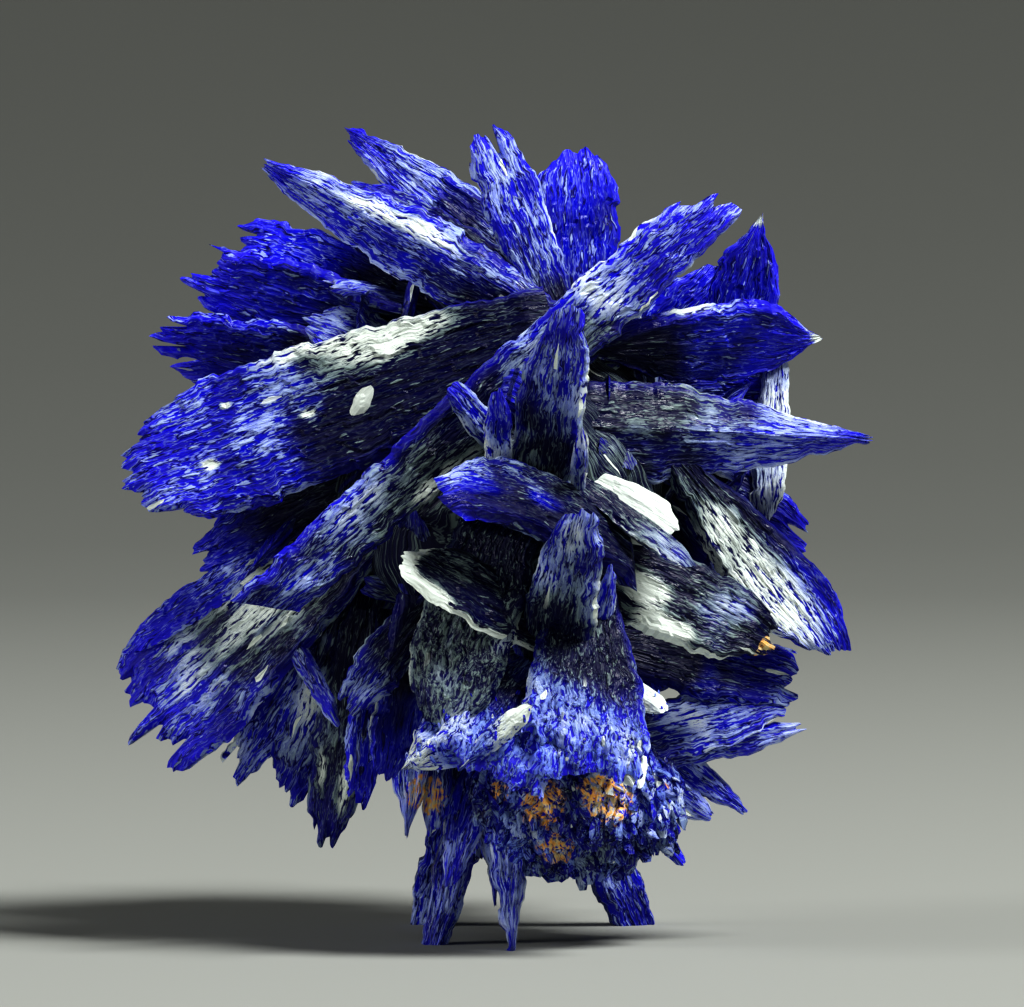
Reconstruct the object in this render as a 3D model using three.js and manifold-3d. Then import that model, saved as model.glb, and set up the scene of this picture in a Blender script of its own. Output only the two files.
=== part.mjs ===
// An azurite rosette: flat blades of dark blue azurite grown outwards from one heart, in millimetres, +Z up.
// The front looks along -Y. The rosette stands on the broken ends of four of its lowest blades, at Z = 0.

import * as THREE from "three";
import { ConvexGeometry } from "three/addons/geometries/ConvexGeometry.js";
import { ParametricGeometry } from "three/addons/geometries/ParametricGeometry.js";
import { mergeVertices } from "three/addons/utils/BufferGeometryUtils.js";
import Module from "manifold-3d";

// ---- Driving dimensions ---------------------------------------------------------------------------------

const HEART = [0.15, 0.6, 17.9]; // over the middle of the rosette's bounding box and above its base
const CORE_RADII = [7.5, 7.8, 7.7]; // the close-grown middle that every blade starts in
const UNDERSIDE = { at: [1.9, -1.2, -10.6], radii: [4.2, 4, 3.9] }; // the lumpy mass under the rosette
const BROW = { at: [3.2, -4.4, -11.9], radii: [4.2, 2.7, 2.7] }; // where that mass swells to the front
const LUMP_ROUGHNESS = 0.1; // how far a facet corner of the middle wanders, as a share of its radius
const ROOTED_AT = 0.5; // where a blade's hidden root starts, as a share of the way from the heart to its base
const ROOTED_BEYOND = 7.4; // a blade whose base is further than this from the heart has such a root
const RIDGED_BELOW = 2.5; // blades narrower than this are ridged, and wider ones are flat
const EDGE_ROUGHNESS = 0.14; // how far a blade's edge falls in from its outline, as a share of its half width
const MERGE_MM = 1e-3; // corners closer than this are one corner

// How wide a blade is along its length, as shares of its width, and how its free end is shaped.
// root, end: the width at the two ends. at: where it is widest. taper: how late it narrows past that.
// round: how far the corners of the end fall back, as a share of the length. teeth: points of a torn end.
// torn: how deep they are, as a share of the length. bends: where along the blade its faces have a corner.
const FORMS = {
  lath: { root: 0.7, end: 0.72, at: 0.55, taper: 1.8, round: 0.1, teeth: 0, torn: 0, bends: [0.86] },
  finger: { root: 0.9, end: 0.5, at: 0.35, taper: 1.8, round: 0.07, teeth: 0, torn: 0, bends: [0.86] },
  sword: { root: 0.62, end: 0.34, at: 0.42, taper: 1.4, round: 0.04, teeth: 0, torn: 0, bends: [0.42, 0.96] },
  spear: { root: 0.8, end: 0.2, at: 0.28, taper: 1.2, round: 0.03, teeth: 0, torn: 0, bends: [0.28] },
  leaf: { root: 0.3, end: 0.2, at: 0.55, taper: 2.2, round: 0.04, teeth: 0, torn: 0, bends: [0.55] },
  kite: { root: 0.4, end: 0.6, at: 0.72, taper: 2, round: 0.08, teeth: 0, torn: 0, bends: [0.72] },
  paddle: { root: 0.68, end: 0.92, at: 0.7, taper: 2.2, round: 0.17, teeth: 0, torn: 0, bends: [0.7, 0.9] },
  tongue: { root: 0.9, end: 0.66, at: 0.45, taper: 2.4, round: 0.14, teeth: 0, torn: 0, bends: [0.45, 0.9] },
  slab: { root: 0.85, end: 0.72, at: 0.5, taper: 2, round: 0.12, teeth: 0, torn: 0, bends: [0.5, 0.9] },
  bar: { root: 0.88, end: 0.9, at: 0.5, taper: 2, round: 0.04, teeth: 0, torn: 0, bends: [0.5, 0.96] },
  torn: { root: 0.6, end: 0.82, at: 0.6, taper: 1.6, round: 0.05, teeth: 3, torn: 0.16, bends: [0.88] },
  fan: { root: 0.5, end: 1, at: 0.95, taper: 1, round: 0.07, teeth: 5, torn: 0.13, bends: [0.9] },
};

// The blades that show from the front. root and tip are from the heart: x to the right, y to the back, z up.
// face is the way the broad face looks. crest is where across the blade its face is thickest, from -1 to 1.
// skew runs one corner of the end ahead of the other, slant does that to both ends, and bow curves the whole
// blade sideways. A loose blade has no hidden root.
const FRONT_BLADES = [
  blade("long bar", "bar", [-7.9, -9.45, -3.3], [9.1, -5.3, 11.9], [0.3, -1, -0.15],
    3.1, 0.7, { loose: true, slant: 0.04 }),
  blade("bar's seat", "slab", [1, -3, 2.4], [0.6, -8.4, 4.6], [-1, 0, 0.3], 3, 1.6),
  blade("left paddle", "paddle", [1.4, -6.5, 6.2], [-15, -4.5, 0.4], [-0.1, -1, 0.4], 6.3, 1),
  blade("paddle's lower twin", "lath", [-3.4, -5, 1.6], [-12, -3, -2.9], [-0.2, -1, -0.3], 3.6, 0.8),
  blade("upper left sword", "sword", [1.9, -5.5, 7], [-9.5, -3, 13.2], [-0.1, -1, 0.1],
    3.2, 1.2, { crest: 0.35 }),
  blade("top left finger", "sword", [1.8, -1, 8.6], [-6.1, 1, 14.5], [0, -1, 0.25], 3, 0.9),
  blade("top left inner", "lath", [1.5, -2.5, 8.2], [-6.1, 0.2, 12.4], [0.2, -1, 0.5], 2.3, 0.8),
  blade("left crown top", "torn", [-2.6, 0, 7.4], [-11, 2.6, 10.1], [-0.3, -1, 0.6], 3.4, 0.8),
  blade("left crown middle", "torn", [-2.4, -1, 6], [-12.7, 1.2, 8.8], [0, -1, -0.2], 3.6, 0.9),
  blade("left crown low", "torn", [-2.4, -1.2, 5], [-14.2, 0.8, 6.3], [0, -1, -0.3], 2.6, 0.8),
  blade("left crown last", "lath", [-2.4, 0, 4.6], [-13.3, 1.6, 4.8], [0, -1, -0.1], 1.8, 0.7),
  blade("crown blade", "torn", [2.6, -5, 6.8], [-0.6, -4, 14.8], [0.1, -1, 0.25], 2.8, 0.9, { skew: -0.03 }),
  blade("crown paddle", "paddle", [3.2, -2.6, 6.4], [3.3, -1, 13.9], [0.2, -1, 0.2], 3.7, 0.9),
  blade("front tongue", "tongue", [1.6, -7, -0.8], [2.8, -12.6, 7.9], [-0.05, -1, 0.3],
    3.1, 0.8, { skew: 0.05 }),
  blade("tongue splint", "lath", [3.2, -7.5, -0.6], [3.4, -11, 2.9], [0.2, -1, 0.1], 0.8, 0.5),
  blade("front peg", "lath", [0.2, -7, -0.4], [0.1, -11.8, 4.5], [-0.1, -1, 0.2], 1.3, 0.6),
  blade("front chip", "lath", [0.6, -7, 1.4], [-1.8, -10.5, 4.5], [0, -1, 0.3], 1.5, 0.6),
  blade("front crest", "slab", [5, -8.4, -2.2], [-2.4, -13.1, 0.7], [0.1, -0.8, 0.6], 3.6, 0.9, { bow: 0.9 }),
  blade("centre tongue", "tongue", [2.2, -7.5, -7.2], [3.3, -13.2, 0], [-0.1, -1, 0.25],
    3.2, 0.8, { skew: 0.08 }),
  blade("valley shelf", "slab", [2, -8, -5.2], [-3.6, -12.2, -2], [0.3, -0.8, 0.5],
    3.4, 0.5, { skew: -0.12 }),
  blade("valley slab", "slab", [0.1, -8.2, -1.6], [-2.3, -10.6, -9], [-0.15, -1, 0.05], 4.3, 0.9),
  blade("apron", "fan", [3.4, -8, -3.2], [3.6, -11.6, -10.6], [0.15, -1, 0.15], 5.4, 0.9),
  blade("skirt left", "leaf", [1.6, -9, -7.2], [-3.7, -10.6, -10.6], [0.25, -0.8, 0.5], 2.9, 0.9),
  blade("skirt middle", "fan", [1.6, -8.5, -6.8], [-0.6, -11.6, -11], [0.05, -1, 0.25], 5.2, 1.1),
  blade("skirt right", "fan", [3.2, -8.5, -7], [3.5, -11.7, -11.1], [0.1, -1, 0.15], 4.9, 1.1),
  blade("right spear", "spear", [2.4, -5.6, 2.6], [15.1, -3, 2.1], [0, -1, 0.05],
    4.4, 1.9, { crest: -0.05 }),
  blade("right dark leaf", "leaf", [4, -4.5, 5.8], [13.2, 0, 6.1], [0.1, -0.85, -0.5], 4.2, 0.8),
  blade("right top spike", "leaf", [8.6, 1.4, 2.6], [10.7, 0.6, 11.2], [0.1, -1, 0.1], 3.3, 0.8),
  blade("right top stub", "lath", [4, -0.5, 4], [9.1, 1, 9.2], [0.2, -1, -0.2], 2.2, 0.7),
  blade("right upright", "lath", [11.3, 0.2, 5.6], [10.7, -2.4, -1.5], [-0.2, -1, 0.3], 1.8, 0.6),
  blade("right back slab", "slab", [3, -0.4, 3.6], [11.6, 0.6, 4], [0.1, -1, 0], 3.6, 0.8),
  blade("white leaf", "paddle", [2.7, -6, 0.8], [7.1, -8.2, -1.6], [0.1, -1, 0.4], 2.5, 0.6),
  blade("grey band", "lath", [3.2, -7.8, 0.6], [8.1, -9, -2.9], [0.3, -0.45, 0.8], 2, 0.5),
  blade("lower right plate", "slab", [3.4, -7.2, -2.4], [11.2, -6, -5.9], [-0.1, -1, 0.3], 3.8, 0.8),
  blade("right leaf", "kite", [7.2, -4.5, 1.2], [13.5, -4.2, -6.5], [0.15, -1, 0.35],
    3.8, 0.8, { skew: -0.08 }),
  blade("right leaf's shadow", "torn", [5.6, -1.6, 2.6], [12.8, -1, -2.2], [0.2, -1, 0.1], 2.6, 0.8),
  blade("lower right fan", "torn", [4, -3.6, -5.8], [12.5, -3, -7.7], [0.2, -1, 0.3], 3.3, 0.8),
  blade("lower right rib", "finger", [4.6, -4.6, -9.8], [11.7, -3.2, -8.3], [0.1, -1, 0.6], 3.1, 0.6),
  blade("lower right finger", "finger", [4.8, -4.4, -10.6], [12.5, -3, -9.3], [0, -1, -0.1], 1.7, 0.8),
  blade("lower right stub", "finger", [5, -3.6, -9], [10.1, -2.6, -12.8], [0.2, -1, 0], 1.7, 0.8),
  blade("lower right twin", "finger", [4.4, -3.6, -10], [8.8, -3, -13.1], [0, -1, -0.2], 2.1, 0.9),
  blade("bottom right finger", "finger", [4.2, -2.4, -10.8], [7.7, -3, -15], [0.2, -1, 0], 1.2, 0.8),
  blade("lower left fan", "fan", [-4.6, -5, -0.9], [-14.7, -3, -9.9], [-0.2, -1, 0.35], 6.1, 1),
  blade("lower left shelf", "lath", [-7.4, -4, -1.2], [-15, -2.6, -6.5], [-0.3, -1, 0.7], 2.1, 0.7),
  blade("hanging lath 1", "torn", [-5.8, -4, -4], [-10.6, -3, -11.6], [-0.2, -1, 0.1], 2.2, 0.8),
  blade("hanging lath 2", "torn", [-5.6, -4.2, -4.4], [-8.6, -3.2, -12.7], [0.2, -1, 0.2], 2.6, 0.8),
  blade("hanging lath 3", "lath", [-5.2, -4.6, -4.6], [-6.8, -3.6, -14.3], [-0.1, -1, 0.1], 2.7, 0.9),
  blade("hanging lath 4", "lath", [-4.4, -4.6, -5], [-5.5, -4, -12.7], [0.3, -1, -0.1], 2.2, 0.7),
  blade("stray lath", "finger", [-8.1, -4.6, -5.6], [-6, -7, -9.2], [0.1, -1, 0.2], 1, 0.6),
  blade("dark plate", "slab", [-3, -6.6, -4.4], [-4.3, -7.4, -11.3], [0.55, -0.85, 0], 2.8, 0.6),
  blade("inner left laths", "torn", [-2.6, -6.6, -4.2], [-5.9, -8, -8.4], [0, -1, 0.3], 2.4, 0.7),
  blade("right column", "lath", [3.8, -7.4, -6.6], [4.6, -10.4, -2.4], [0.2, -1, 0.1], 1, 0.6),
  blade("pale chip", "finger", [4.4, -7.4, -8.2], [5.6, -11.5, -11.2], [0.1, -1, -0.1], 2, 0.9),
  blade("pale nugget", "finger", [5, -7.4, -7.4], [6.7, -10.2, -8.3], [0.3, -1, 0.4], 1.4, 0.7),
  blade("left tooth", "spear", [-3, -4.4, -7.6], [-3.5, -5, -13.7], [-0.1, -1, 0], 2.4, 0.9),
  blade("middle tooth", "lath", [-1.8, -4, -8], [-2.5, -4.6, -13.7], [0.1, -1, 0], 1.5, 0.8),
  blade("right tooth", "lath", [-0.8, -3.6, -8], [-1.4, -4, -13.9], [-0.2, -1, 0], 1.7, 0.8),
  blade("lower left thorn", "finger", [-0.4, -3.8, -10], [-1.9, -5, -15.8], [-0.1, -1, 0], 1.9, 0.7),
  blade("middle thorn", "spear", [-0.1, -3.6, -10.6], [0, -4.8, -16.4], [0.1, -1, 0], 1.9, 0.8),
];

// The blades that the rosette stands on. Their ends run a little past the surface and are cut off flat there.
const FEET = [
  blade("front foot", "spear", [0.6, -3.8, -10.6], [0.7, -6.4, -18.8], [0, -1, 0.1], 2.3, 1.3),
  blade("left foot", "finger", [-0.4, -1.8, -10], [-2.9, -3.8, -20], [-0.3, -1, 0], 2, 1.2),
  blade("left back foot", "lath", [-0.6, 1.6, -9], [-3.2, 6.6, -20], [0.4, 1, 0.2], 2.3, 1.3),
  blade("right back foot", "lath", [1.8, 1.6, -9], [6.6, 6.4, -20], [-0.5, 1, 0.2], 2.5, 1.3),
];

// The back is grown by rule: broad blades spread evenly over it, that lean away from its middle as petals do.
// Those near the rim are shorter, so that the front overtops them.
const BACK = { count: 22, pole: [0.1, 1, 0.12], reach: [11.6, 14.2], width: [3.8, 6.2] };
const BACK_THICK = [0.7, 1.1];
const BACK_RIM = { reach: 11.8, height: -0.1 };
const BACK_FORMS = ["paddle", "torn", "leaf", "slab", "fan", "tongue", "sword"];
const BACK_LEAN = 0.55; // how far the root of a blade lies towards the middle, 0 for none
const ROOT_REACH = 6.4;
// Short broad blades that fill between the front and the back, all round the sides.
const UNDERGROWTH = { count: 12, reach: [10.2, 11.6], width: [3.6, 5], thick: 0.8 };
const UNDERGROWTH_LEAN = { pole: 0.5, sideways: 0.22 };
// Stubs round the mass under the rosette, that hang from it like a fringe.
const STUBS = { count: 8, drop: [3.6, 4.6], spread: 3.9, width: [1.8, 2.8], thick: 0.8 };
const GOLDEN_ANGLE = Math.PI * (3 - Math.sqrt(5));

// ---- A blade --------------------------------------------------------------------------------------------

/** One blade, from its form, its two ends, the way it faces, its width and thickness, and any extras. */
function blade(name, form, root, tip, face, width, thick, extras = {}) {
  return { name, form, root, tip, face, width, thick, ...extras };
}

/** An even spread of numbers from 0 to 1, the same for the same n. */
function scatter(n) {
  const x = Math.sin(n * 12.9898) * 43758.5453;
  return x - Math.floor(x);
}

/** A number between the ends of a range. */
const within = ([low, high], share) => low + (high - low) * share;

/** The three directions of a blade: along it, across it and out of its broad face. */
function frameOf(blade) {
  const along = new THREE.Vector3(...blade.tip).sub(new THREE.Vector3(...blade.root));
  const length = along.length();
  along.normalize();
  const face = new THREE.Vector3(...blade.face);
  face.addScaledVector(along, -face.dot(along)).normalize();
  return { length, along, face, across: new THREE.Vector3().crossVectors(along, face) };
}

/** Half the width at u, as a share of the blade's width: it swells to where it is widest, then tapers. */
function halfWidth(form, u) {
  const share =
    u < form.at
      ? form.root + (1 - form.root) * Math.sin(((Math.PI / 2) * u) / form.at)
      : 1 - (1 - form.end) * ((u - form.at) / (1 - form.at)) ** form.taper;
  return share / 2;
}

/** How much of its length the blade keeps at v across its end: corners are rounded off, and torn ends dip. */
function reachAt(blade, form, v) {
  const rounded = 1 - form.round * v * v + (blade.skew ?? 0) * v;
  if (!form.teeth) return rounded;
  const place = ((v + 1) / 2) * form.teeth;
  const tooth = Math.min(Math.floor(place), form.teeth - 1);
  const dip = within([scatter(blade.seed + tooth), scatter(blade.seed + tooth + 1)], place - tooth);
  return rounded - form.torn * dip;
}

/** The places across a blade where its outline or its face has a corner. */
function stopsAcross(blade, form) {
  if (form.teeth) return Array.from({ length: form.teeth + 1 }, (_, k) => (2 * k) / form.teeth - 1);
  const flat = blade.crest === undefined && blade.width > RIDGED_BELOW;
  return flat ? [-1, -0.62, 0.62, 1] : [-1, blade.crest ?? 0.2, 1];
}

/** A blade's own measures: its form, its three directions and the places round its section. */
function measuresOf(blade) {
  const form = FORMS[blade.form];
  const inner = stopsAcross(blade, form).slice(1, -1);
  const ring = [
    { v: 1, side: 0 },
    ...inner.toReversed().map((v) => ({ v, side: -1 })),
    { v: -1, side: 0 },
    ...inner.map((v) => ({ v, side: 1 })),
  ];
  return { form, ring, root: new THREE.Vector3(...blade.root), ...frameOf(blade) };
}

/** The point of a blade at u along it, at one place round its section. lift is 0 where it thins to a line. */
function bladePoint(blade, measures, u, { v, side }, lift, target = new THREE.Vector3()) {
  const { form, root, length, along, across, face } = measures;
  const kept = 1 - (1 - reachAt(blade, form, v)) * u ** 3;
  const uneven = within([1 - EDGE_ROUGHNESS, 1], scatter(blade.seed + 7 * u + v));
  const curve = 4 * (blade.bow ?? 0) * u * (1 - u);
  return target
    .copy(root)
    .addScaledVector(along, length * (u * kept + (blade.slant ?? 0) * v))
    .addScaledVector(across, blade.width * halfWidth(form, Math.max(u, 0)) * v * uneven + curve)
    .addScaledVector(face, (lift * side * blade.thick) / 2);
}

/** A blade's closed surface: rings of points down its length, each once round, and a line at both ends. */
function bladeGeometry(blade) {
  const measures = measuresOf(blade);
  const { form, ring } = measures;
  const stations = [-0.06, 0, ...form.bends, 1];
  const last = stations.length - 1;
  const point = (ringShare, lengthShare, target) => {
    const place = ring[Math.round(ringShare * ring.length) % ring.length];
    const station = Math.round(lengthShare * last);
    const lift = station === 0 || station === last ? 0 : 1;
    bladePoint(blade, measures, stations[station], place, lift, target);
  };
  return new ParametricGeometry(point, ring.length, last);
}

/** The hidden root of a blade whose base stands clear of the middle: a wedge from inside out to the base. */
function rootGeometry(blade) {
  const measures = measuresOf(blade);
  const rhombus = [-1, 1].flatMap((end) => [{ v: 0.94 * end, side: 0 }, { v: 0, side: 0.9 * end }]);
  const base = rhombus.map((place) => bladePoint(blade, measures, 0, place, 1));
  return new ConvexGeometry([measures.root.clone().multiplyScalar(ROOTED_AT), ...base]);
}

// ---- The blades grown by rule ---------------------------------------------------------------------------

/** The nth of count directions spread evenly over a sphere, from height 1 along +Y down to the lowest. */
function spreadDirection(n, count, lowest) {
  const height = 1 - ((1 - lowest) * (2 * n + 1)) / (2 * count);
  const ring = Math.sqrt(1 - height * height);
  const turn = n * GOLDEN_ANGLE;
  return new THREE.Vector3(ring * Math.cos(turn), height, ring * Math.sin(turn));
}

/** A blade whose tip lies along a direction, and its root nearer to the pole: its face looks outwards. */
function leaningBlade(name, form, direction, pole, lean, reach, width, thick, seed) {
  const root = direction.clone().lerp(pole, lean).setLength(ROOT_REACH);
  const tip = direction.clone().multiplyScalar(reach);
  const wander = [0.3, 0.5, 0.7].map((step) => 0.7 * (scatter(seed + step) - 0.5));
  const face = direction.clone().add(new THREE.Vector3(...wander));
  return { name, form, root: root.toArray(), tip: tip.toArray(), face: face.toArray(), width, thick, seed };
}

/** The blades of the back half. The nearer one lies to the rim, the shorter it is. */
function backBlades() {
  const pole = new THREE.Vector3(...BACK.pole).normalize();
  return Array.from({ length: BACK.count }, (_, n) => {
    const seed = 300 + 10 * n;
    const direction = spreadDirection(n, BACK.count, BACK_RIM.height);
    const sideways = Math.hypot(direction.x, direction.z);
    const reach = Math.min(within(BACK.reach, scatter(seed)), BACK_RIM.reach / sideways);
    const width = within(BACK.width, scatter(seed + 0.1));
    const thick = within(BACK_THICK, scatter(seed + 0.2));
    const form = BACK_FORMS[n % BACK_FORMS.length];
    return leaningBlade(`back blade ${n}`, form, direction, pole, BACK_LEAN, reach, width, thick, seed);
  });
}

/** The short blades of the band round the sides, which lean one way and the other by turns. */
function undergrowth() {
  return Array.from({ length: UNDERGROWTH.count }, (_, n) => {
    const seed = 900 + 10 * n;
    const turn = (2 * Math.PI * (n + 0.4 * scatter(seed + 0.4))) / UNDERGROWTH.count;
    const hand = n % 2 ? 1 : -1;
    const sideways = hand * UNDERGROWTH_LEAN.sideways;
    const direction = new THREE.Vector3(Math.cos(turn), sideways, Math.sin(turn)).normalize();
    const pole = new THREE.Vector3(-hand * Math.sin(turn), -0.4 * hand, hand * Math.cos(turn));
    const reach = within(UNDERGROWTH.reach, scatter(seed));
    const width = within(UNDERGROWTH.width, scatter(seed + 0.1));
    const lean = UNDERGROWTH_LEAN.pole;
    return leaningBlade(`side ${n}`, "torn", direction, pole, lean, reach, width, UNDERGROWTH.thick, seed);
  });
}

/** The fringe of stubs under the rosette: short laths down the sides of the mass there, facing outwards. */
function stubs() {
  return Array.from({ length: STUBS.count }, (_, n) => {
    const seed = 1500 + 10 * n;
    const turn = (2 * Math.PI * n) / STUBS.count;
    const out = new THREE.Vector3(Math.sin(turn), -Math.cos(turn), 0);
    const middle = new THREE.Vector3(...UNDERSIDE.at);
    const root = middle.clone().addScaledVector(out, 0.7 * STUBS.spread);
    root.z += 1;
    const tip = middle.clone().addScaledVector(out, STUBS.spread * within([0.8, 1.1], scatter(seed + 0.6)));
    tip.z -= within(STUBS.drop, scatter(seed));
    const face = [out.x, out.y, 0.2];
    const width = within(STUBS.width, scatter(seed + 0.1));
    const ends = { root: root.toArray(), tip: tip.toArray() };
    return { name: `stub ${n}`, form: "torn", ...ends, face, width, thick: STUBS.thick, seed, loose: true };
  });
}

// ---- Joining --------------------------------------------------------------------------------------------

const wasm = await Module();
wasm.setup();

/** A closed geometry as a manifold-3d solid. */
function solidOf(geometry) {
  const bare = geometry.clone();
  bare.deleteAttribute("normal");
  bare.deleteAttribute("uv");
  const merged = mergeVertices(bare, MERGE_MM);
  return new wasm.Manifold(
    new wasm.Mesh({
      numProp: 3,
      vertProperties: merged.attributes.position.array,
      triVerts: new Uint32Array(merged.index.array),
    }),
  );
}

/** A faceted lump: a sphere of flat faces, stretched to the radii, with each corner a little in or out. */
function lumpGeometry(at, radii, detail) {
  const geometry = new THREE.IcosahedronGeometry(1, detail);
  const position = geometry.attributes.position;
  const corner = new THREE.Vector3();
  for (let i = 0; i < position.count; i++) {
    corner.fromBufferAttribute(position, i);
    const wander = Math.sin(7 * corner.x) + Math.sin(8 * corner.y + 1) + Math.sin(9 * corner.z + 2);
    corner.multiplyScalar(1 + (LUMP_ROUGHNESS * wander) / 3);
    corner.multiply(new THREE.Vector3(...radii)).add(new THREE.Vector3(...at));
    position.setXYZ(i, corner.x, corner.y, corner.z);
  }
  return geometry;
}

/** A manifold-3d solid back as a three.js geometry. */
function geometryOf(solid) {
  const mesh = solid.getMesh();
  const geometry = new THREE.BufferGeometry();
  geometry.setAttribute("position", new THREE.BufferAttribute(new Float32Array(mesh.vertProperties), 3));
  geometry.setIndex(new THREE.BufferAttribute(new Uint32Array(mesh.triVerts), 1));
  geometry.computeVertexNormals();
  return geometry;
}

/** A solid without the gaps that are closed off inside it: its outer surface, with near corners merged. */
function withoutSealedGaps(solid) {
  const surfaces = solidOf(geometryOf(solid)).decompose();
  return surfaces.reduce((outer, other) => (other.volume() > outer.volume() ? other : outer));
}

/** The whole rosette as one solid, lifted onto its feet and cut off flat at Z = 0. */
function rosetteSolid() {
  const named = [...FRONT_BLADES, ...FEET].map((blade, n) => ({ seed: 10 * n, ...blade }));
  const blades = [...named, ...backBlades(), ...undergrowth(), ...stubs()];
  let solid = solidOf(lumpGeometry([0, 0, 0], CORE_RADII, 1));
  solid = solid.add(solidOf(lumpGeometry(UNDERSIDE.at, UNDERSIDE.radii, 2)));
  solid = solid.add(solidOf(lumpGeometry(BROW.at, BROW.radii, 1)));
  for (const blade of blades) {
    solid = solid.add(solidOf(bladeGeometry(blade)));
    if (!blade.loose && Math.hypot(...blade.root) > ROOTED_BEYOND) {
      solid = solid.add(solidOf(rootGeometry(blade)));
    }
  }
  const ground = new THREE.BoxGeometry(60, 60, 10);
  ground.translate(0, 0, -HEART[2] - 5);
  return withoutSealedGaps(solid.subtract(solidOf(ground)));
}

const azurite = new THREE.MeshStandardMaterial({
  color: 0x14108c,
  roughness: 0.32,
  metalness: 0,
  flatShading: true,
});

const rosette = new THREE.Mesh(geometryOf(rosetteSolid()), azurite);
rosette.name = "azurite_rosette";
rosette.position.set(...HEART);

const group = new THREE.Group();
group.add(rosette);

export default group;
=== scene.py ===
"""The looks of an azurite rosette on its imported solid: flaky blades of deep blue grown from one heart."""

import logging
import math
from collections.abc import Iterable
from dataclasses import dataclass, field, replace
from enum import Enum

import bpy
import numpy as np
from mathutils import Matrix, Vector
from numpy.typing import NDArray


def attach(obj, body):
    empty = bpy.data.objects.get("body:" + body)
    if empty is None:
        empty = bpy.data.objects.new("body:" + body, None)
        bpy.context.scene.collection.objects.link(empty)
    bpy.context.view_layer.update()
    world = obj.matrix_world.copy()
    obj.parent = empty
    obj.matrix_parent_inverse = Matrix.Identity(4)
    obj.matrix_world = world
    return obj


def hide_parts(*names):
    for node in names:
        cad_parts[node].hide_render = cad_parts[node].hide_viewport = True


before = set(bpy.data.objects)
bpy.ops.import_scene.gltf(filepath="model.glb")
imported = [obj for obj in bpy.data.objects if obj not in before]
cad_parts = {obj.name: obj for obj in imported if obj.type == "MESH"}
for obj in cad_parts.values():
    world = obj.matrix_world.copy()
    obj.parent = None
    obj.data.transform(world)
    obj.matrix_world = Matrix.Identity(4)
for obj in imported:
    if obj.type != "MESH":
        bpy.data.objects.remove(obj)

Array = NDArray[np.float64]
Indices = NDArray[np.int64]
Triple = tuple[float, float, float]
Range = tuple[float, float]
Colour = tuple[float, float, float, float]
Glare = tuple[float, float, float, float, float]

LOG = logging.getLogger("azurite_rosette")
NODE = "azurite_rosette"
BODY = "root"
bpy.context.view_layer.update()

MM = 0.001
HEART: Triple = (0.15, 0.6, 17.9)  # millimetres; every blade's place is measured from it
FLOOR = -HEART[2]
GRAIN_MAP = "along_across"
GROWTH = "growth"
STAIN = "stain"


# ---- Numbers by chance --------------------------------------------------------------------------------
#
# A number added to a seed only keeps one draw apart from the others, and a number added to the coordinate
# of a noise only chooses where on that noise a pattern starts.


def chance(a: Array | int, b: Array | int, seed: int) -> Array:
    """Gives every pair of whole numbers its own number from 0 to 1, by mixing their bits.

    Args:
        a: The first whole number, or an array of them.
        b: The second whole number, or an array of them.
        seed: A whole number that gives a different spread.

    Returns:
        Numbers from 0 to 1, in the shape of a and b together.
    """
    n = (np.asarray(a, np.int64) * 73856093) ^ (np.asarray(b, np.int64) * 19349663)
    n = n ^ (seed * 83492791 + 12345)
    n = ((n ^ (n >> 13)) * 1274126177) & 0xFFFFFFFF
    n = ((n ^ (n >> 15)) * 2246822519) & 0xFFFFFFFF
    return ((n ^ (n >> 13)) & 0xFFFFFF) / float(0xFFFFFF)


def rolling(x: Array, y: Array, seed: int) -> Array:
    """Smooth noise: chance numbers on a unit grid, with a smooth blend of the four nearest in between.

    Args:
        x: The first coordinate, in grid steps.
        y: The second coordinate, in grid steps.
        seed: A whole number that gives a different pattern.

    Returns:
        Numbers from 0 to 1, in the shape of x and y together.
    """
    x, y = np.broadcast_arrays(x, y)
    left, low = np.floor(x).astype(np.int64), np.floor(y).astype(np.int64)
    s, t = x - left, y - low
    s, t = s * s * (3 - 2 * s), t * t * (3 - 2 * t)
    bottom = chance(left, low, seed) * (1 - s) + chance(left + 1, low, seed) * s
    top = chance(left, low + 1, seed) * (1 - s) + chance(left + 1, low + 1, seed) * s
    return bottom * (1 - t) + top * t


def stepped(x: Array, seed: int, sharpness: float) -> Array:
    """Steps of chance height along a line: each unit of x is one tread, and a steep slope leads to the next.

    Args:
        x: The coordinate, in treads.
        seed: A whole number that gives different steps.
        sharpness: How steep the rise between two treads is; 1 is an even slope.

    Returns:
        Heights from 0 to 1, in the shape of x.
    """
    tread = np.floor(x).astype(np.int64)
    rise = np.clip((x - tread - 0.5) * sharpness + 0.5, 0, 1)
    return chance(tread, 0, seed) * (1 - rise) + chance(tread + 1, 0, seed) * rise


def scatter(n: float) -> float:
    """An even spread of numbers from 0 to 1: the fraction of 43758.5453 times the sine of 12.9898 n."""
    x = math.sin(n * 12.9898) * 43758.5453
    return x - math.floor(x)


def within(ends: Range, share: float) -> float:
    """A number between the ends of a range."""
    return ends[0] + (ends[1] - ends[0]) * share


def unit(vector: Array | Triple) -> Array:
    """The direction of a vector, or of each of an array of them, with a length of 1."""
    vector = np.asarray(vector, float)
    return vector / np.linalg.norm(vector, axis=-1, keepdims=True)


# ---- Surfaces as arrays -------------------------------------------------------------------------------


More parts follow.
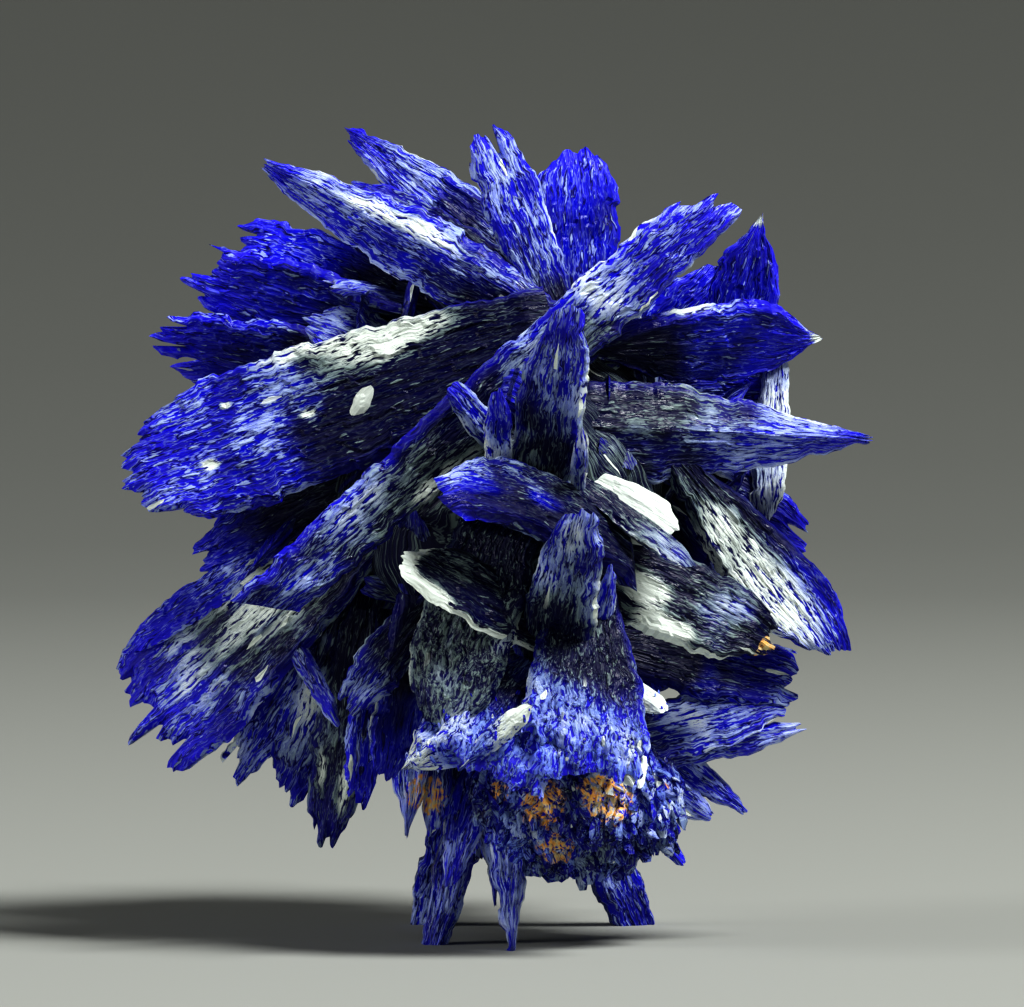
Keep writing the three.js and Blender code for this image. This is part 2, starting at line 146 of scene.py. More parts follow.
@dataclass
class Surface:
    """A closed surface as arrays: points in millimetres, faces of four, and what the finish reads.

    At each point, grain is the place along and across the crystal. growth holds how pale its streaks are,
    raised by painted highlights and reflections and lowered by painted shade, how strong the painted violet
    glow of a thin tip or edge is, a number of the crystal's own, and how grey it is, painted shade included.
    stain is how rusty it is.
    """

    points: Array
    quads: Indices
    grain: Array
    growth: Array
    stain: Array

    @staticmethod
    def joined(parts: Iterable["Surface"]) -> "Surface":
        """Puts surfaces side by side in one set of arrays.

        Args:
            parts: The surfaces.

        Returns:
            One surface that holds them all.
        """
        parts = list(parts)
        starts = np.cumsum([0] + [len(part.points) for part in parts[:-1]])
        return Surface(
            np.concatenate([part.points for part in parts]),
            np.concatenate([part.quads + start for part, start in zip(parts, starts)]),
            np.concatenate([part.grain for part in parts]),
            np.concatenate([part.growth for part in parts]),
            np.concatenate([part.stain for part in parts]),
        )

    def without_strays(self) -> "Surface":
        """Leaves out the points that no face uses.

        Returns:
            The same surface without them.
        """
        used, corners = np.unique(self.quads, return_inverse=True)
        return Surface(
            self.points[used],
            corners.reshape(self.quads.shape),
            self.grain[used],
            self.growth[used],
            self.stain[used],
        )

    def to_object(self, name: str, material: bpy.types.Material) -> bpy.types.Object:
        """Makes the surface a piece of the rosette: a mesh in metres with its map and attributes.

        Args:
            name: The piece's name.
            material: The finish it gets.

        Returns:
            The piece, which rides on the rosette's body.
        """
        corners = self.quads.ravel()
        mesh = bpy.data.meshes.new(name)
        mesh.vertices.add(len(self.points))
        mesh.vertices.foreach_set("co", ((self.points + HEART) * MM).astype(np.float32).ravel())
        mesh.loops.add(len(corners))
        mesh.loops.foreach_set("vertex_index", corners.astype(np.int32))
        mesh.polygons.add(len(self.quads))
        mesh.polygons.foreach_set("loop_start", np.arange(0, len(corners), 4, dtype=np.int32))
        mesh.polygons.foreach_set("use_smooth", np.zeros(len(self.quads), bool))
        mesh.update(calc_edges=True)
        grain = mesh.uv_layers.new(name=GRAIN_MAP)
        grain.data.foreach_set("uv", self.grain[corners].astype(np.float32).ravel())
        growth = mesh.attributes.new(GROWTH, "FLOAT_COLOR", "POINT")
        growth.data.foreach_set("color", self.growth.astype(np.float32).ravel())
        stain = mesh.attributes.new(STAIN, "FLOAT", "POINT")
        stain.data.foreach_set("value", self.stain.astype(np.float32).ravel())
        mesh.materials.append(material)
        piece = bpy.data.objects.new(name, mesh)
        bpy.context.scene.collection.objects.link(piece)
        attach(piece, BODY)
        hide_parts(NODE)
        LOG.info("%s: %d triangles", name, 2 * len(self.quads))
        return piece


def tube_quads(rows: int, columns: int) -> Indices:
    """The faces of a closed flat tube: rows of points, each once round.

    The first and the last row are flat seams.

    Args:
        rows: The number of rows.
        columns: The number of points round a row, an even number. The first half runs over the front from
            one edge to the other, and the rest runs back behind it.

    Returns:
        Corner numbers, four to a face. On the two seams the back's points are the front's.
    """
    number = np.arange(rows * columns).reshape(rows, columns)
    back = np.arange(columns // 2 + 1, columns)
    for seam in (0, rows - 1):
        number[seam, back] = number[seam, columns - back]
    following = np.roll(number, -1, axis=1)
    return np.stack([number[:-1], following[:-1], following[1:], number[1:]], axis=-1).reshape(-1, 4)


def ring_places(spans: int) -> tuple[Array, Array]:
    """The places round a flat section: from edge to edge over the front, then back behind it.

    Args:
        spans: The number of steps from edge to edge.

    Returns:
        The place across, from -1 to 1, and the side, 1 in front and -1 behind, each as one row.
    """
    over = np.linspace(-1, 1, spans + 1)
    across = np.concatenate([over, over[-2:0:-1]])
    side = np.concatenate([np.ones(spans + 1), -np.ones(spans - 1)])
    return across[None, :], side[None, :]


# ---- Rust ---------------------------------------------------------------------------------------------


@dataclass(frozen=True)
class RustPatch:
    """A patch of limonite on the crystals: its middle and its radius in millimetres, and how strong it is."""

    middle: Triple
    radius: float
    strength: float = 1.0


RUST = (
    RustPatch((1.9, -6.9, -12.0), 0.9, 0.8),
    RustPatch((4.5, -7.0, -11.6), 1.2, 0.7),
    RustPatch((6.2, -5.6, -11.7), 0.9, 0.8),
    RustPatch((-2.7, -5.0, -11.9), 1.0),
    RustPatch((-3.9, -6.4, -8.3), 0.5, 0.8),
    RustPatch((11.1, -6.2, -6.3), 0.9, 1.8),
    RustPatch((2.4, -6.4, -13.8), 0.7),
    RustPatch((0.3, -6.4, -11.6), 0.6),
    RustPatch((3.2, -6.8, -12.8), 3.2, 0.42),
    RustPatch((-1.0, 5.5, -11.5), 1.6, 0.8),
    RustPatch((5.5, 3.5, -12.0), 1.4, 0.8),
)


def rust_at(points: Array) -> Array:
    """How rusty each point is.

    It is the sum over the patches of strength times e to the minus (distance / radius)^4.

    Args:
        points: Points in millimetres from the heart.

    Returns:
        A number of 0 or more for each point.
    """
    rust = np.zeros(points.shape[:-1])
    for patch in RUST:
        away = np.sum((points - patch.middle) ** 2, axis=-1) / patch.radius**2
        rust = rust + patch.strength * np.exp(-(away**2))
    return rust


# ---- Blades -------------------------------------------------------------------------------------------


@dataclass(frozen=True)
class Form:
    """How wide a blade is along its length, as shares of its width, and how its free end is shaped.

    root and end are its width at the two ends, at is where it is widest, taper is how late it narrows past
    that. round is how far the corners of the end fall back, torn how deep its teeth are, both as shares of
    the length.
    """

    root: float
    end: float
    at: float
    taper: float
    round: float
    torn: float


class Forms(Enum):
    """The forms that a blade can have."""

    LATH = Form(0.7, 0.72, 0.55, 1.8, 0.1, 0.07)
    FINGER = Form(0.9, 0.5, 0.35, 1.8, 0.07, 0.05)
    SWORD = Form(0.62, 0.34, 0.42, 1.4, 0.04, 0.03)
    SPEAR = Form(0.8, 0.2, 0.28, 1.2, 0.03, 0.02)
    LEAF = Form(0.3, 0.2, 0.55, 2.2, 0.04, 0.03)
    KITE = Form(0.4, 0.6, 0.72, 2.0, 0.08, 0.03)
    PADDLE = Form(0.68, 0.92, 0.7, 2.2, 0.17, 0.04)
    TONGUE = Form(0.9, 0.66, 0.45, 2.4, 0.14, 0.04)
    SLAB = Form(0.85, 0.72, 0.5, 2.0, 0.12, 0.05)
    BAR = Form(0.88, 0.9, 0.5, 2.0, 0.05, 0.015)
    TORN = Form(0.6, 0.82, 0.6, 1.6, 0.05, 0.15)
    FAN = Form(0.5, 1.0, 0.95, 1.0, 0.07, 0.14)


@dataclass(frozen=True)
class Blade:
    """One flat blade. root and tip are from the heart, in millimetres: x to the right, y to the back, z up.

    face is the way the broad face looks, and twist how far it turns along the blade, in degrees. crest is
    where across the blade its face is thickest, if it is ridged. skew runs one corner of the end ahead of
    the other, slant does that to both ends, and bow curves the whole blade sideways. A loose blade has no
    hidden root. rough is how large its flakes and nicks are, as a share of the usual. frost is how pale its
    streaks are, dull how grey and dark it is, glow how strong the painted violet glow of its end and edges
    is, and fade how far painted shade darkens it towards its base. glares are patches on its front face:
    pale ones are painted reflections, and dark ones, where their strength is below 0, are painted shade.
    greys are dull patches. For both: where along and across, how far each way, and how strong.
    """

    name: str
    form: Forms
    root: Triple
    tip: Triple
    face: Triple
    width: float
    thick: float
    crest: float | None = None
    skew: float = 0.0
    slant: float = 0.0
    twist: float = 0.0
    bow: float = 0.0
    loose: bool = False
    rough: float = 1.0
    frost: float = 0.45
    dull: float = 0.25
    # Painted light: glow is a painted violet glow, fade painted shade towards the base, and glares painted
    # reflections with painted shade where negative.
    glow: float = 1.0
    fade: float = 1.0
    painted_glare_and_shade: tuple[Glare, ...] = ()
    greys: tuple[Glare, ...] = ()


@dataclass
class BladeMaker:
    """Works out blades as surfaces: their outline, the growth steps on their faces and their torn ends.

    Every size is in millimetres. cell is the mesh's step along and across a blade, and least_cells the
    fewest of them. bevel is how far in from its edges a blade has its whole thickness, crest_bevel the same
    on a ridged one, and tip_wedge how far back from its end. slimming is how much thinner its end is, and
    steps_in how soon the growth steps show in from its edges. A face has laths side by side, each broken
    into flakes, with fine ridges: their breadth, length and heights, and the size of the waves that they
    follow. wave_shift is how far those waves move a flake along and a lath across, in flakes and laths, and
    stagger how many flakes the laths are out of step. flake_tilt and flake_lean are how steep a flake is
    along and across, and falling is the share of them that fall towards the tip. An edge has steps, and
    nicks on them, and a torn end has nicks too: how far apart and how deep they are. steepness is that of
    the end's steps and of the edge's. least_width is the share of its width that a blade keeps at least,
    and a blade narrower than full_rough is smoother. rim and painted_edge_highlight are how broad the rim
    with its painted violet glow and the painted pale highlight along the edge are, and farthest is how far
    the longest tips are from the heart. root_start, painted_edge_start, painted_shade_base and
    painted_glow_start are shares of the
    length: where a blade starts, where its painted edge highlight is whole, how far up the painted shade at
    its base reaches, and where the painted violet glow of its end starts. violet is how strong that painted
    glow is on its rim and on its end. painted_edge_frost, painted_shade_frost and painted_shade_dull are how
    much paler the painted highlight makes its edges, and how much less pale and how much duller the painted
    shade makes its base.
    A blade whose base is further out than rooted_beyond has a hidden root, which runs over hidden_span of
    the way out to that, and is narrower and thinner than the blade. side_gap and map_shift are how far
    apart the maps of its two faces are, and those of different blades.
    """

    cell: Range = (0.15, 0.12)
    least_cells: tuple[int, int] = (6, 5)
    bevel: float = 0.28
    crest_bevel: float = 0.12
    tip_wedge: float = 0.9
    slimming: float = 0.25
    steps_in: float = 1.6
    lath: float = 0.42
    flake: float = 1.5
    flake_height: float = 0.11
    ridge: Range = (2.2, 0.24)
    ridge_height: float = 0.05
    wave: Range = (1.6, 0.9)
    wave_shift: Range = (0.9, 1.1)
    stagger: float = 7.0
    flake_tilt: float = 0.9
    flake_lean: float = 1.2
    falling: float = 0.3
    edge_step: float = 0.8
    edge_depth: float = 0.24
    nick_step: float = 0.22
    nick: float = 0.12
    end_nick_step: float = 0.2
    end_nick_share: float = 0.03
    steepness: Range = (4.0, 5.0)
    least_width: float = 0.35
    full_rough: float = 2.4
    rim: float = 0.5
    painted_edge_highlight: float = 0.12
    farthest: float = 15.0
    root_start: float = -0.06
    painted_edge_start: float = 0.3
    painted_shade_base: float = 0.55
    painted_glow_start: float = 0.5
    violet: Range = (0.6, 0.8)
    painted_edge_frost: float = 0.35
    painted_shade_frost: float = 0.35
    painted_shade_dull: float = 0.6
    rooted_beyond: float = 7.4
    hidden_span: Range = (0.45, 1.03)
    hidden_width: float = 0.75
    hidden_least: float = 0.8
    hidden_thick: float = 0.8
    hidden_frost: float = 0.3
    hidden_dull: float = 0.6
    side_gap: float = 20.0
    map_shift: float = 30.0

    def is_rooted(self, blade: Blade) -> bool:
        """Whether a blade's base stands clear of the middle, so that a hidden root carries it."""
        return not blade.loose and math.hypot(*blade.root) > self.rooted_beyond

    def hidden_root(self, blade: Blade) -> Blade:
        """The lath from inside the middle out to the base of a blade that stands clear of it.

        Args:
            blade: The blade.

        Returns:
            The lath, which faces as the blade does.
        """
        start, end = (tuple(share * value for value in blade.root) for share in self.hidden_span)
        width = max(self.hidden_width * blade.width * blade.form.value.root, self.hidden_least)
        thick = self.hidden_thick * blade.thick
        lath = Blade(f"{blade.name}'s root", Forms.LATH, start, end, blade.face, width, thick)
        lath = replace(lath, rough=blade.rough, glow=blade.glow, fade=blade.fade)
        return replace(lath, frost=self.hidden_frost, dull=self.hidden_dull)

    def frame_of(self, blade: Blade) -> tuple[float, Array, Array, Array]:
        """The blade's length and its three directions: along it, across it and out of its face.

        Args:
            blade: The blade.

        Returns:
            The length and the three directions.
        """
        along = np.subtract(blade.tip, blade.root)
        length = float(np.linalg.norm(along))
        along = along / length
        face = np.asarray(blade.face, float)
        face = unit(face - along * face.dot(along))
        return length, along, np.cross(along, face), face

    def half_width(self, form: Form, u: Array) -> Array:
        """Half the width at u, as a share of the whole.

        It rises by a quarter sine up to the widest place, and falls by a power from there.

        Args:
            form: The blade's form.
            u: The place along the blade, from 0 at the root to 1 at the tip.

        Returns:
            Half the width, in the shape of u.
        """
        u = np.clip(u, 0, 1)
        rising = form.root + (1 - form.root) * np.sin(np.pi / 2 * np.minimum(u / form.at, 1))
        past = np.clip((u - form.at) / (1 - form.at), 0, 1)
        falling = 1 - (1 - form.end) * past**form.taper
        return np.where(u < form.at, rising, falling) / 2

    def reach(self, blade: Blade, v: Array, seed: int) -> Array:
        """How much of its length the blade keeps at v across its end.

        It is 1, less rounded corners (round x |v|^2.4), plus the skew (skew x v), less laths torn off at
        chance lengths and small nicks in each.

        Args:
            blade: The blade.
            v: The place across, from -1 to 1.
            seed: The blade's seed.

        Returns:
            Shares of the length, in the shape of v.
        """
        form = blade.form.value
        across = v * blade.width / 2
        torn = stepped(across / self.lath + 9.3, seed + 1, self.steepness[0]) * form.torn
        nicks = rolling(across / self.end_nick_step + 30, np.zeros(1), seed + 2) * self.end_nick_share
        return 1 - form.round * np.abs(v) ** 2.4 + blade.skew * v - torn - nicks

    def ragged(self, distance: Array, v: Array, seed: int) -> Array:
        """How far the edge falls in along the blade, in millimetres: steps, and finer nicks on them.

        Args:
            distance: The distance along the blade.
            v: The place across, whose sign says which edge.
            seed: The blade's seed.

        Returns:
            Depths of 0 or more.
        """
        side = np.where(v > 0, 0.0, 40.5)
        steps = stepped(distance / self.edge_step + side, seed + 3, self.steepness[1]) * self.edge_depth
        nicks = rolling(distance / self.nick_step + side, side, seed + 4) * self.nick
        return steps + nicks

    def relief(self, distance: Array, across: Array, seed: int) -> Array:
        """The growth steps of a face: laths side by side, broken into flakes, and fine ridges along them.

        Height = flake height x (chance + tilt along + lean across) - ridge height x |smooth noise|, with the
        chance, the tilt and the lean one number each for a whole flake.

        Args:
            distance: The distance along the blade.
            across: The distance across it, before it narrows.
            seed: A seed for this face.

        Returns:
            Heights in millimetres about zero.
        """
        wobble = rolling(distance / self.wave[0] + 20, across / self.wave[1] + 20, seed + 5) - 0.5
        column = across / self.lath + self.wave_shift[1] * wobble + 50
        lane = np.floor(column).astype(np.int64)
        place = distance / self.flake + self.stagger * chance(lane, 3, seed + 6)
        place = place + self.wave_shift[0] * wobble + 50
        brick = np.floor(place).astype(np.int64)
        height = chance(lane, brick, seed + 7) - 0.5
        tilt = self.flake_tilt * ((place - brick - 0.5) * (chance(lane, brick, seed + 8) - self.falling))
        lean = self.flake_lean * ((column - lane - 0.5) * (chance(lane, brick, seed + 9) - 0.5))
        ridges = np.abs(rolling(distance / self.ridge[0] + 20, across / self.ridge[1] + 60, seed + 10) - 0.5)
        return (height + tilt + lean) * self.flake_height - ridges * self.ridge_height

    def lift(self, blade: Blade, u: Array, v: Array, length: float, half: Array) -> tuple[Array, Array]:
        """Half the thickness at each place, and how much of the growth steps shows there.

        Half the thickness rises from nothing at the edges over a bevel, or up to the crest with a bevel to
        the power 0.3. Times (1 - slimming x u^2), it falls to nothing at the tip, as the power 0.7 of the
        distance, and over the first 0.05 of the length.

        Args:
            blade: The blade.
            u: The place along it, as a column.
            v: The place across it, as a row.
            length: The blade's length.
            half: Half its width at u, as a column.

        Returns:
            Half the thickness in millimetres, and the share of the growth steps, from 0 to 1.
        """
        margin = (1 - np.abs(v)) * half
        if blade.crest is None:
            rise = np.clip(margin / self.bevel, 0, 1)
        else:
            rise = np.where(v < blade.crest, (1 + v) / (1 + blade.crest), (1 - v) / (1 - blade.crest))
            rise = rise * np.clip(margin / self.crest_bevel, 0, 1) ** 0.3
        tip = np.clip((1 - u) * length / self.tip_wedge, 0, 1) ** 0.7
        start = np.clip((u - self.root_start) / 0.05, 0, 1)
        slimmed = 1 - self.slimming * np.clip(u, 0, 1) ** 2
        half_thick = blade.thick / 2 * rise * tip * start * slimmed
        return half_thick, np.clip(rise * self.steps_in, 0, 1) * tip * start

    def growth(self, blade: Blade, points: Array, u: Array, v: Array, half: Array, seed: int) -> Array:
        """What the finish reads at each point of a blade: frost, tip, the blade's own number, and dullness.

        Tip is the painted violet glow of light through the thin rim and end, stronger further from the heart:
        tip = (violet of the rim x rim + violet of the end x ahead^1.5) x (distance from the heart /
        farthest)^1.5 x glow. Frost gains the painted highlight of the edges and the glares, which are painted
        reflections and, below 0, painted shade. Frost loses, and dullness gains, the painted shade of the
        base.

        Args:
            blade: The blade.
            points: Its points, in rows along it.
            u: The place along it, as a column.
            v: The place across it, as a row.
            half: Half its width at u, as a column.
            seed: Its seed.

        Returns:
            Four numbers for each point.
        """
        margin = (1 - np.abs(v)) * half
        rim = np.clip(1 - margin / self.rim, 0, 1)
        # Painted highlight: a pale line along the blade's edges.
        edge = np.exp(-((margin / self.painted_edge_highlight) ** 2)) * np.clip(u / self.painted_edge_start, 0, 1)
        # Painted shade: the blade darkens and loses its streaks towards its base.
        base = np.clip(1 - u / self.painted_shade_base, 0, 1)
        # Painted glow: violet on the thin rim and the end, stronger further from the heart.
        outer = np.clip(np.linalg.norm(points, axis=-1) / self.farthest, 0, 1)
        ahead = np.clip((u - self.painted_glow_start) / (1 - self.painted_glow_start), 0, 1) ** 1.5
        violet = self.violet[0] * rim + self.violet[1] * ahead
        tip = np.clip(violet * outer**1.5, 0, 1) * blade.glow
        frost = blade.frost + self.painted_edge_frost * edge - self.painted_shade_frost * base * blade.fade
        # Painted reflections from the glares, and painted shade where they are below 0.
        frost = frost + self.patches(blade.painted_glare_and_shade, u, v)
        dull = blade.dull + self.painted_shade_dull * base * blade.fade + self.patches(blade.greys, u, v)
        whim = np.full(tip.shape, float(chance(seed, 11, 5)))
        return np.stack([frost, tip, whim, dull], axis=-1)

    def patches(self, patches: tuple[Glare, ...], u: Array, v: Array) -> Array:
        """The sum of soft patches on the front face: strength times e to the minus distance^3 for each.

        Args:
            patches: Where each one is along and across, how far it reaches each way, and how strong it is.
            u: The place along the blade, as a column.
            v: The place across it, as a row.

        Returns:
            A number for each point.
        """
        front = np.where(ring_places(half_ring(v))[1] > 0, 1.0, 0.0)
        total = np.zeros(np.broadcast_shapes(u.shape, v.shape))
        for place, spot, long_reach, cross_reach, strength in patches:
            off = ((u - place) / long_reach) ** 2 + ((v - spot) / cross_reach) ** 2
            total = total + front * strength * np.exp(-(off**1.5))
        return total

    def surface(self, blade: Blade, seed: int, coarse: float = 1.0) -> Surface:
        """A blade as a closed surface of two parameters: u along it, and once round its section.

        Point = root + along x length x (u kept back near the end + slant x v) + across x ((half width -
        ragged edge) x v + bow x 4 u (1 - u)) + face x side x (half thickness + growth steps), with the
        section turned by the twist about the middle line. A blade that reaches below the floor is cut off
        flat there.

        Args:
            blade: The blade.
            seed: Its seed.
            coarse: How many times larger its mesh's cells are.

        Returns:
            The surface.
        """
        length, along, across_way, face_way = self.frame_of(blade)
        rows = max(self.least_cells[0], int(length / (self.cell[0] * coarse))) + 1
        spans = max(self.least_cells[1], int(blade.width / (self.cell[1] * coarse)))
        u = np.linspace(self.root_start, 1, rows)[:, None]
        v, side = ring_places(spans)
        kept = 1 - (1 - self.reach(blade, v, seed)) * np.clip(u, 0, 1) ** 3
        distance = length * (u * kept + blade.slant * v)
        half = blade.width * self.half_width(blade.form.value, u)
        rough = blade.rough * min(1.0, blade.width / self.full_rough)
        edge = np.maximum(half - rough * self.ragged(distance, v, seed), self.least_width * half)
        across = edge * v + 4 * blade.bow * u * (1 - u)
        spread = np.broadcast_to(v * blade.width / 2, across.shape)
        half_thick, shown = self.lift(blade, u, v, length, half)
        steps = np.where(
            side > 0, self.relief(distance, spread, seed + 20), self.relief(distance, spread, seed + 60)
        )
        height = side * (half_thick + rough * steps * shown)
        turn = np.radians(blade.twist) * (u - 0.5)
        points = (
            np.asarray(blade.root)
            + along * distance[..., None]
            + across_way * (across * np.cos(turn) - height * np.sin(turn))[..., None]
            + face_way * (across * np.sin(turn) + height * np.cos(turn))[..., None]
        )
        sunk = np.minimum(points[..., 2] - FLOOR, 0)
        if sunk.any():
            points = points - along * (sunk / along[2])[..., None]
        growth = self.growth(blade, points, u, v, half, seed)
        shift = self.map_shift * np.array([chance(seed, 12, 5), chance(seed, 13, 5)])
        grain = np.stack([distance, spread + self.side_gap * side], axis=-1) + shift
        return Surface(
            points.reshape(-1, 3),
            tube_quads(rows, 2 * spans),
            grain.reshape(-1, 2),
            growth.reshape(-1, 4),
            rust_at(points).ravel(),
        ).without_strays()


def half_ring(v: Array) -> int:
    """The number of steps from edge to edge of a ring of places across."""
    return v.size // 2


# ---- The blades of each side --------------------------------------------------------------------------

# In the rows below, glares are painted reflections on a blade's front face, and painted shade where their
# strength is below 0.
F = Forms
CROWN = (
    Blade(
        "upper left sword", F.SWORD, (1.9, -5.5, 7), (-9.5, -3, 13.2), (-0.1, -1, 0.1), 3.2, 1.2,
        crest=0.35, frost=0.5, painted_glare_and_shade=((0.5, 0.45, 0.22, 0.3, 0.9),),
    ),
    Blade("top left finger", F.SWORD, (1.8, -1, 8.6), (-6.1, 1, 14.5), (0, -1, 0.25), 3, 0.9, frost=0.5),
    Blade(
        "top left inner", F.LATH, (1.5, -2.5, 8.2), (-6.1, 0.2, 12.4), (0.2, -1, 0.5), 2.3, 0.8,
        frost=0.4, dull=0.9, painted_glare_and_shade=((0.62, 0.1, 0.04, 0.15, 1.4),),
    ),
    Blade(
        "left crown top", F.TORN, (-2.6, 0, 7.4), (-11, 2.6, 10.1), (-0.3, -1, 0.6), 3.4, 0.8, frost=0,
    ),
    Blade(
        "left crown middle", F.TORN, (-2.4, -1, 6), (-12.7, 1.2, 8.8), (0, -1, -0.2), 3.6, 0.9, frost=0,
    ),
    Blade(
        "left crown low", F.TORN, (-2.4, -1.2, 5), (-14.2, 0.8, 6.3), (0, -1, -0.3), 2.6, 0.8, frost=0.1,
    ),
    Blade(
        "left crown last", F.LATH, (-2.4, 0, 4.6), (-13.3, 1.6, 4.8), (0, -1, -0.1), 1.8, 0.7, frost=0.2,
    ),
    Blade(
        "crown blade", F.TORN, (2.6, -5, 6.8), (-0.6, -4, 14.8), (0.1, -1, 0.25), 2.8, 0.9, skew=-0.03,
        frost=0.5,
    ),
    Blade(
        "crown paddle", F.PADDLE, (3.2, -2.6, 6.4), (3.3, -1, 13.9), (0.2, -1, 0.2), 3.7, 0.9,
        frost=0.05, dull=0,
    ),
)

LEFT = (
    Blade(
        "left paddle", F.PADDLE, (1.4, -6.5, 6.2), (-15, -4.5, 0.4), (-0.1, -1, 0.4), 6.3, 1, frost=0.42,
        painted_glare_and_shade=(
            (0.3, 0.66, 0.19, 0.34, 1.1), (0.5, 0.92, 0.16, 0.2, 0.8), (0.22, -0.5, 0.34, 0.75, -0.95),
            (0.5, -0.9, 0.2, 0.3, -0.5), (0.79, -0.25, 0.02, 0.08, 1.6), (0.725, 0.48, 0.014, 0.06, 1.5),
            (0.53, -0.04, 0.02, 0.06, 1.5),
        ),
        greys=((0.2, -0.1, 0.34, 1.2, 0.7),),
    ),
    Blade(
        "pale fleck", F.SLAB, (-5.75, -6.1, 2.9), (-4.75, -6.7, 4.3), (-0.3, -1, 0.4), 0.9, 0.3,
        loose=True, frost=2.2, dull=0, glow=0, fade=0,
    ),
    Blade(
        "paddle's lower twin", F.LATH, (-3.4, -5, 1.6), (-12, -3, -2.9), (-0.2, -1, -0.3), 3.6, 0.8,
        frost=-0.05, dull=0.5, glow=0.5,
    ),
    Blade(
        "lower left fan", F.FAN, (-4.6, -5, -0.9), (-14.7, -3, -9.9), (-0.2, -1, 0.35), 6.1, 1,
        frost=0.64, dull=0.8, fade=0.2,
        painted_glare_and_shade=(
            (1, 0, 0.25, 2, -0.4), (0.6, -0.85, 0.4, 0.4, -0.4), (0.5, 0.2, 0.3, 0.7, 0.3),
            (0.75, -0.22, 0.4, 0.06, -0.8), (0.7, 0.38, 0.4, 0.05, -0.8), (0.9, 0.72, 0.3, 0.05, -0.7),
        ),
        greys=((0.4, 0.1, 0.3, 0.9, 0.5),),
    ),
    Blade(
        "lower left shelf", F.LATH, (-7.4, -4, -1.2), (-15, -2.6, -6.5), (-0.3, -1, 0.7), 2.1, 0.7,
        frost=0.3,
    ),
    Blade(
        "hanging lath 1", F.TORN, (-5.8, -4, -4), (-10.6, -3, -11.6), (-0.2, -1, 0.1), 2.2, 0.8,
        frost=0.5, glow=0.5, dull=0.3,
    ),
    Blade(
        "hanging lath 2", F.TORN, (-5.6, -4.2, -4.4), (-8.6, -3.2, -12.7), (0.2, -1, 0.2), 2.6, 0.8,
        dull=0.8, glow=0.4, fade=0.3, painted_glare_and_shade=((0.6, 0.3, 0.25, 0.5, 0.4),),
    ),
    Blade(
        "hanging lath 3", F.LATH, (-5.2, -4.6, -4.6), (-6.8, -3.6, -14.3), (-0.1, -1, 0.1), 2.7, 0.9,
        dull=1.1, glow=0.4, painted_glare_and_shade=((0.72, -0.4, 0.12, 0.3, 1.1), (0.7, 0.5, 0.1, 0.2, 0.9)),
        greys=((0.65, 0, 0.2, 1, 0.4),),
    ),
    Blade(
        "hanging lath 4", F.LATH, (-4.4, -4.6, -5), (-5.5, -4, -12.7), (0.3, -1, -0.1), 2.2, 0.7,
        frost=0.25,
    ),
    Blade("stray lath", F.FINGER, (-8.1, -4.6, -5.6), (-6, -7, -9.2), (0.1, -1, 0.2), 1, 0.6, frost=0.6),
    Blade(
        "dark plate", F.SLAB, (-3, -6.6, -4.4), (-4.3, -7.4, -11.3), (0.55, -0.85, 0), 2.8, 0.6,
        frost=-0.1, glow=0.3, painted_glare_and_shade=((0.6, 0.97, 0.5, 0.05, 1.4), (0.6, -0.97, 0.5, 0.05, 1.4)),
    ),
    Blade(
        "inner left laths", F.TORN, (-2.6, -6.6, -4.2), (-5.9, -8, -8.4), (0, -1, 0.3), 2.4, 0.7,
        frost=0.35, dull=0.8, glow=0.4,
    ),
)

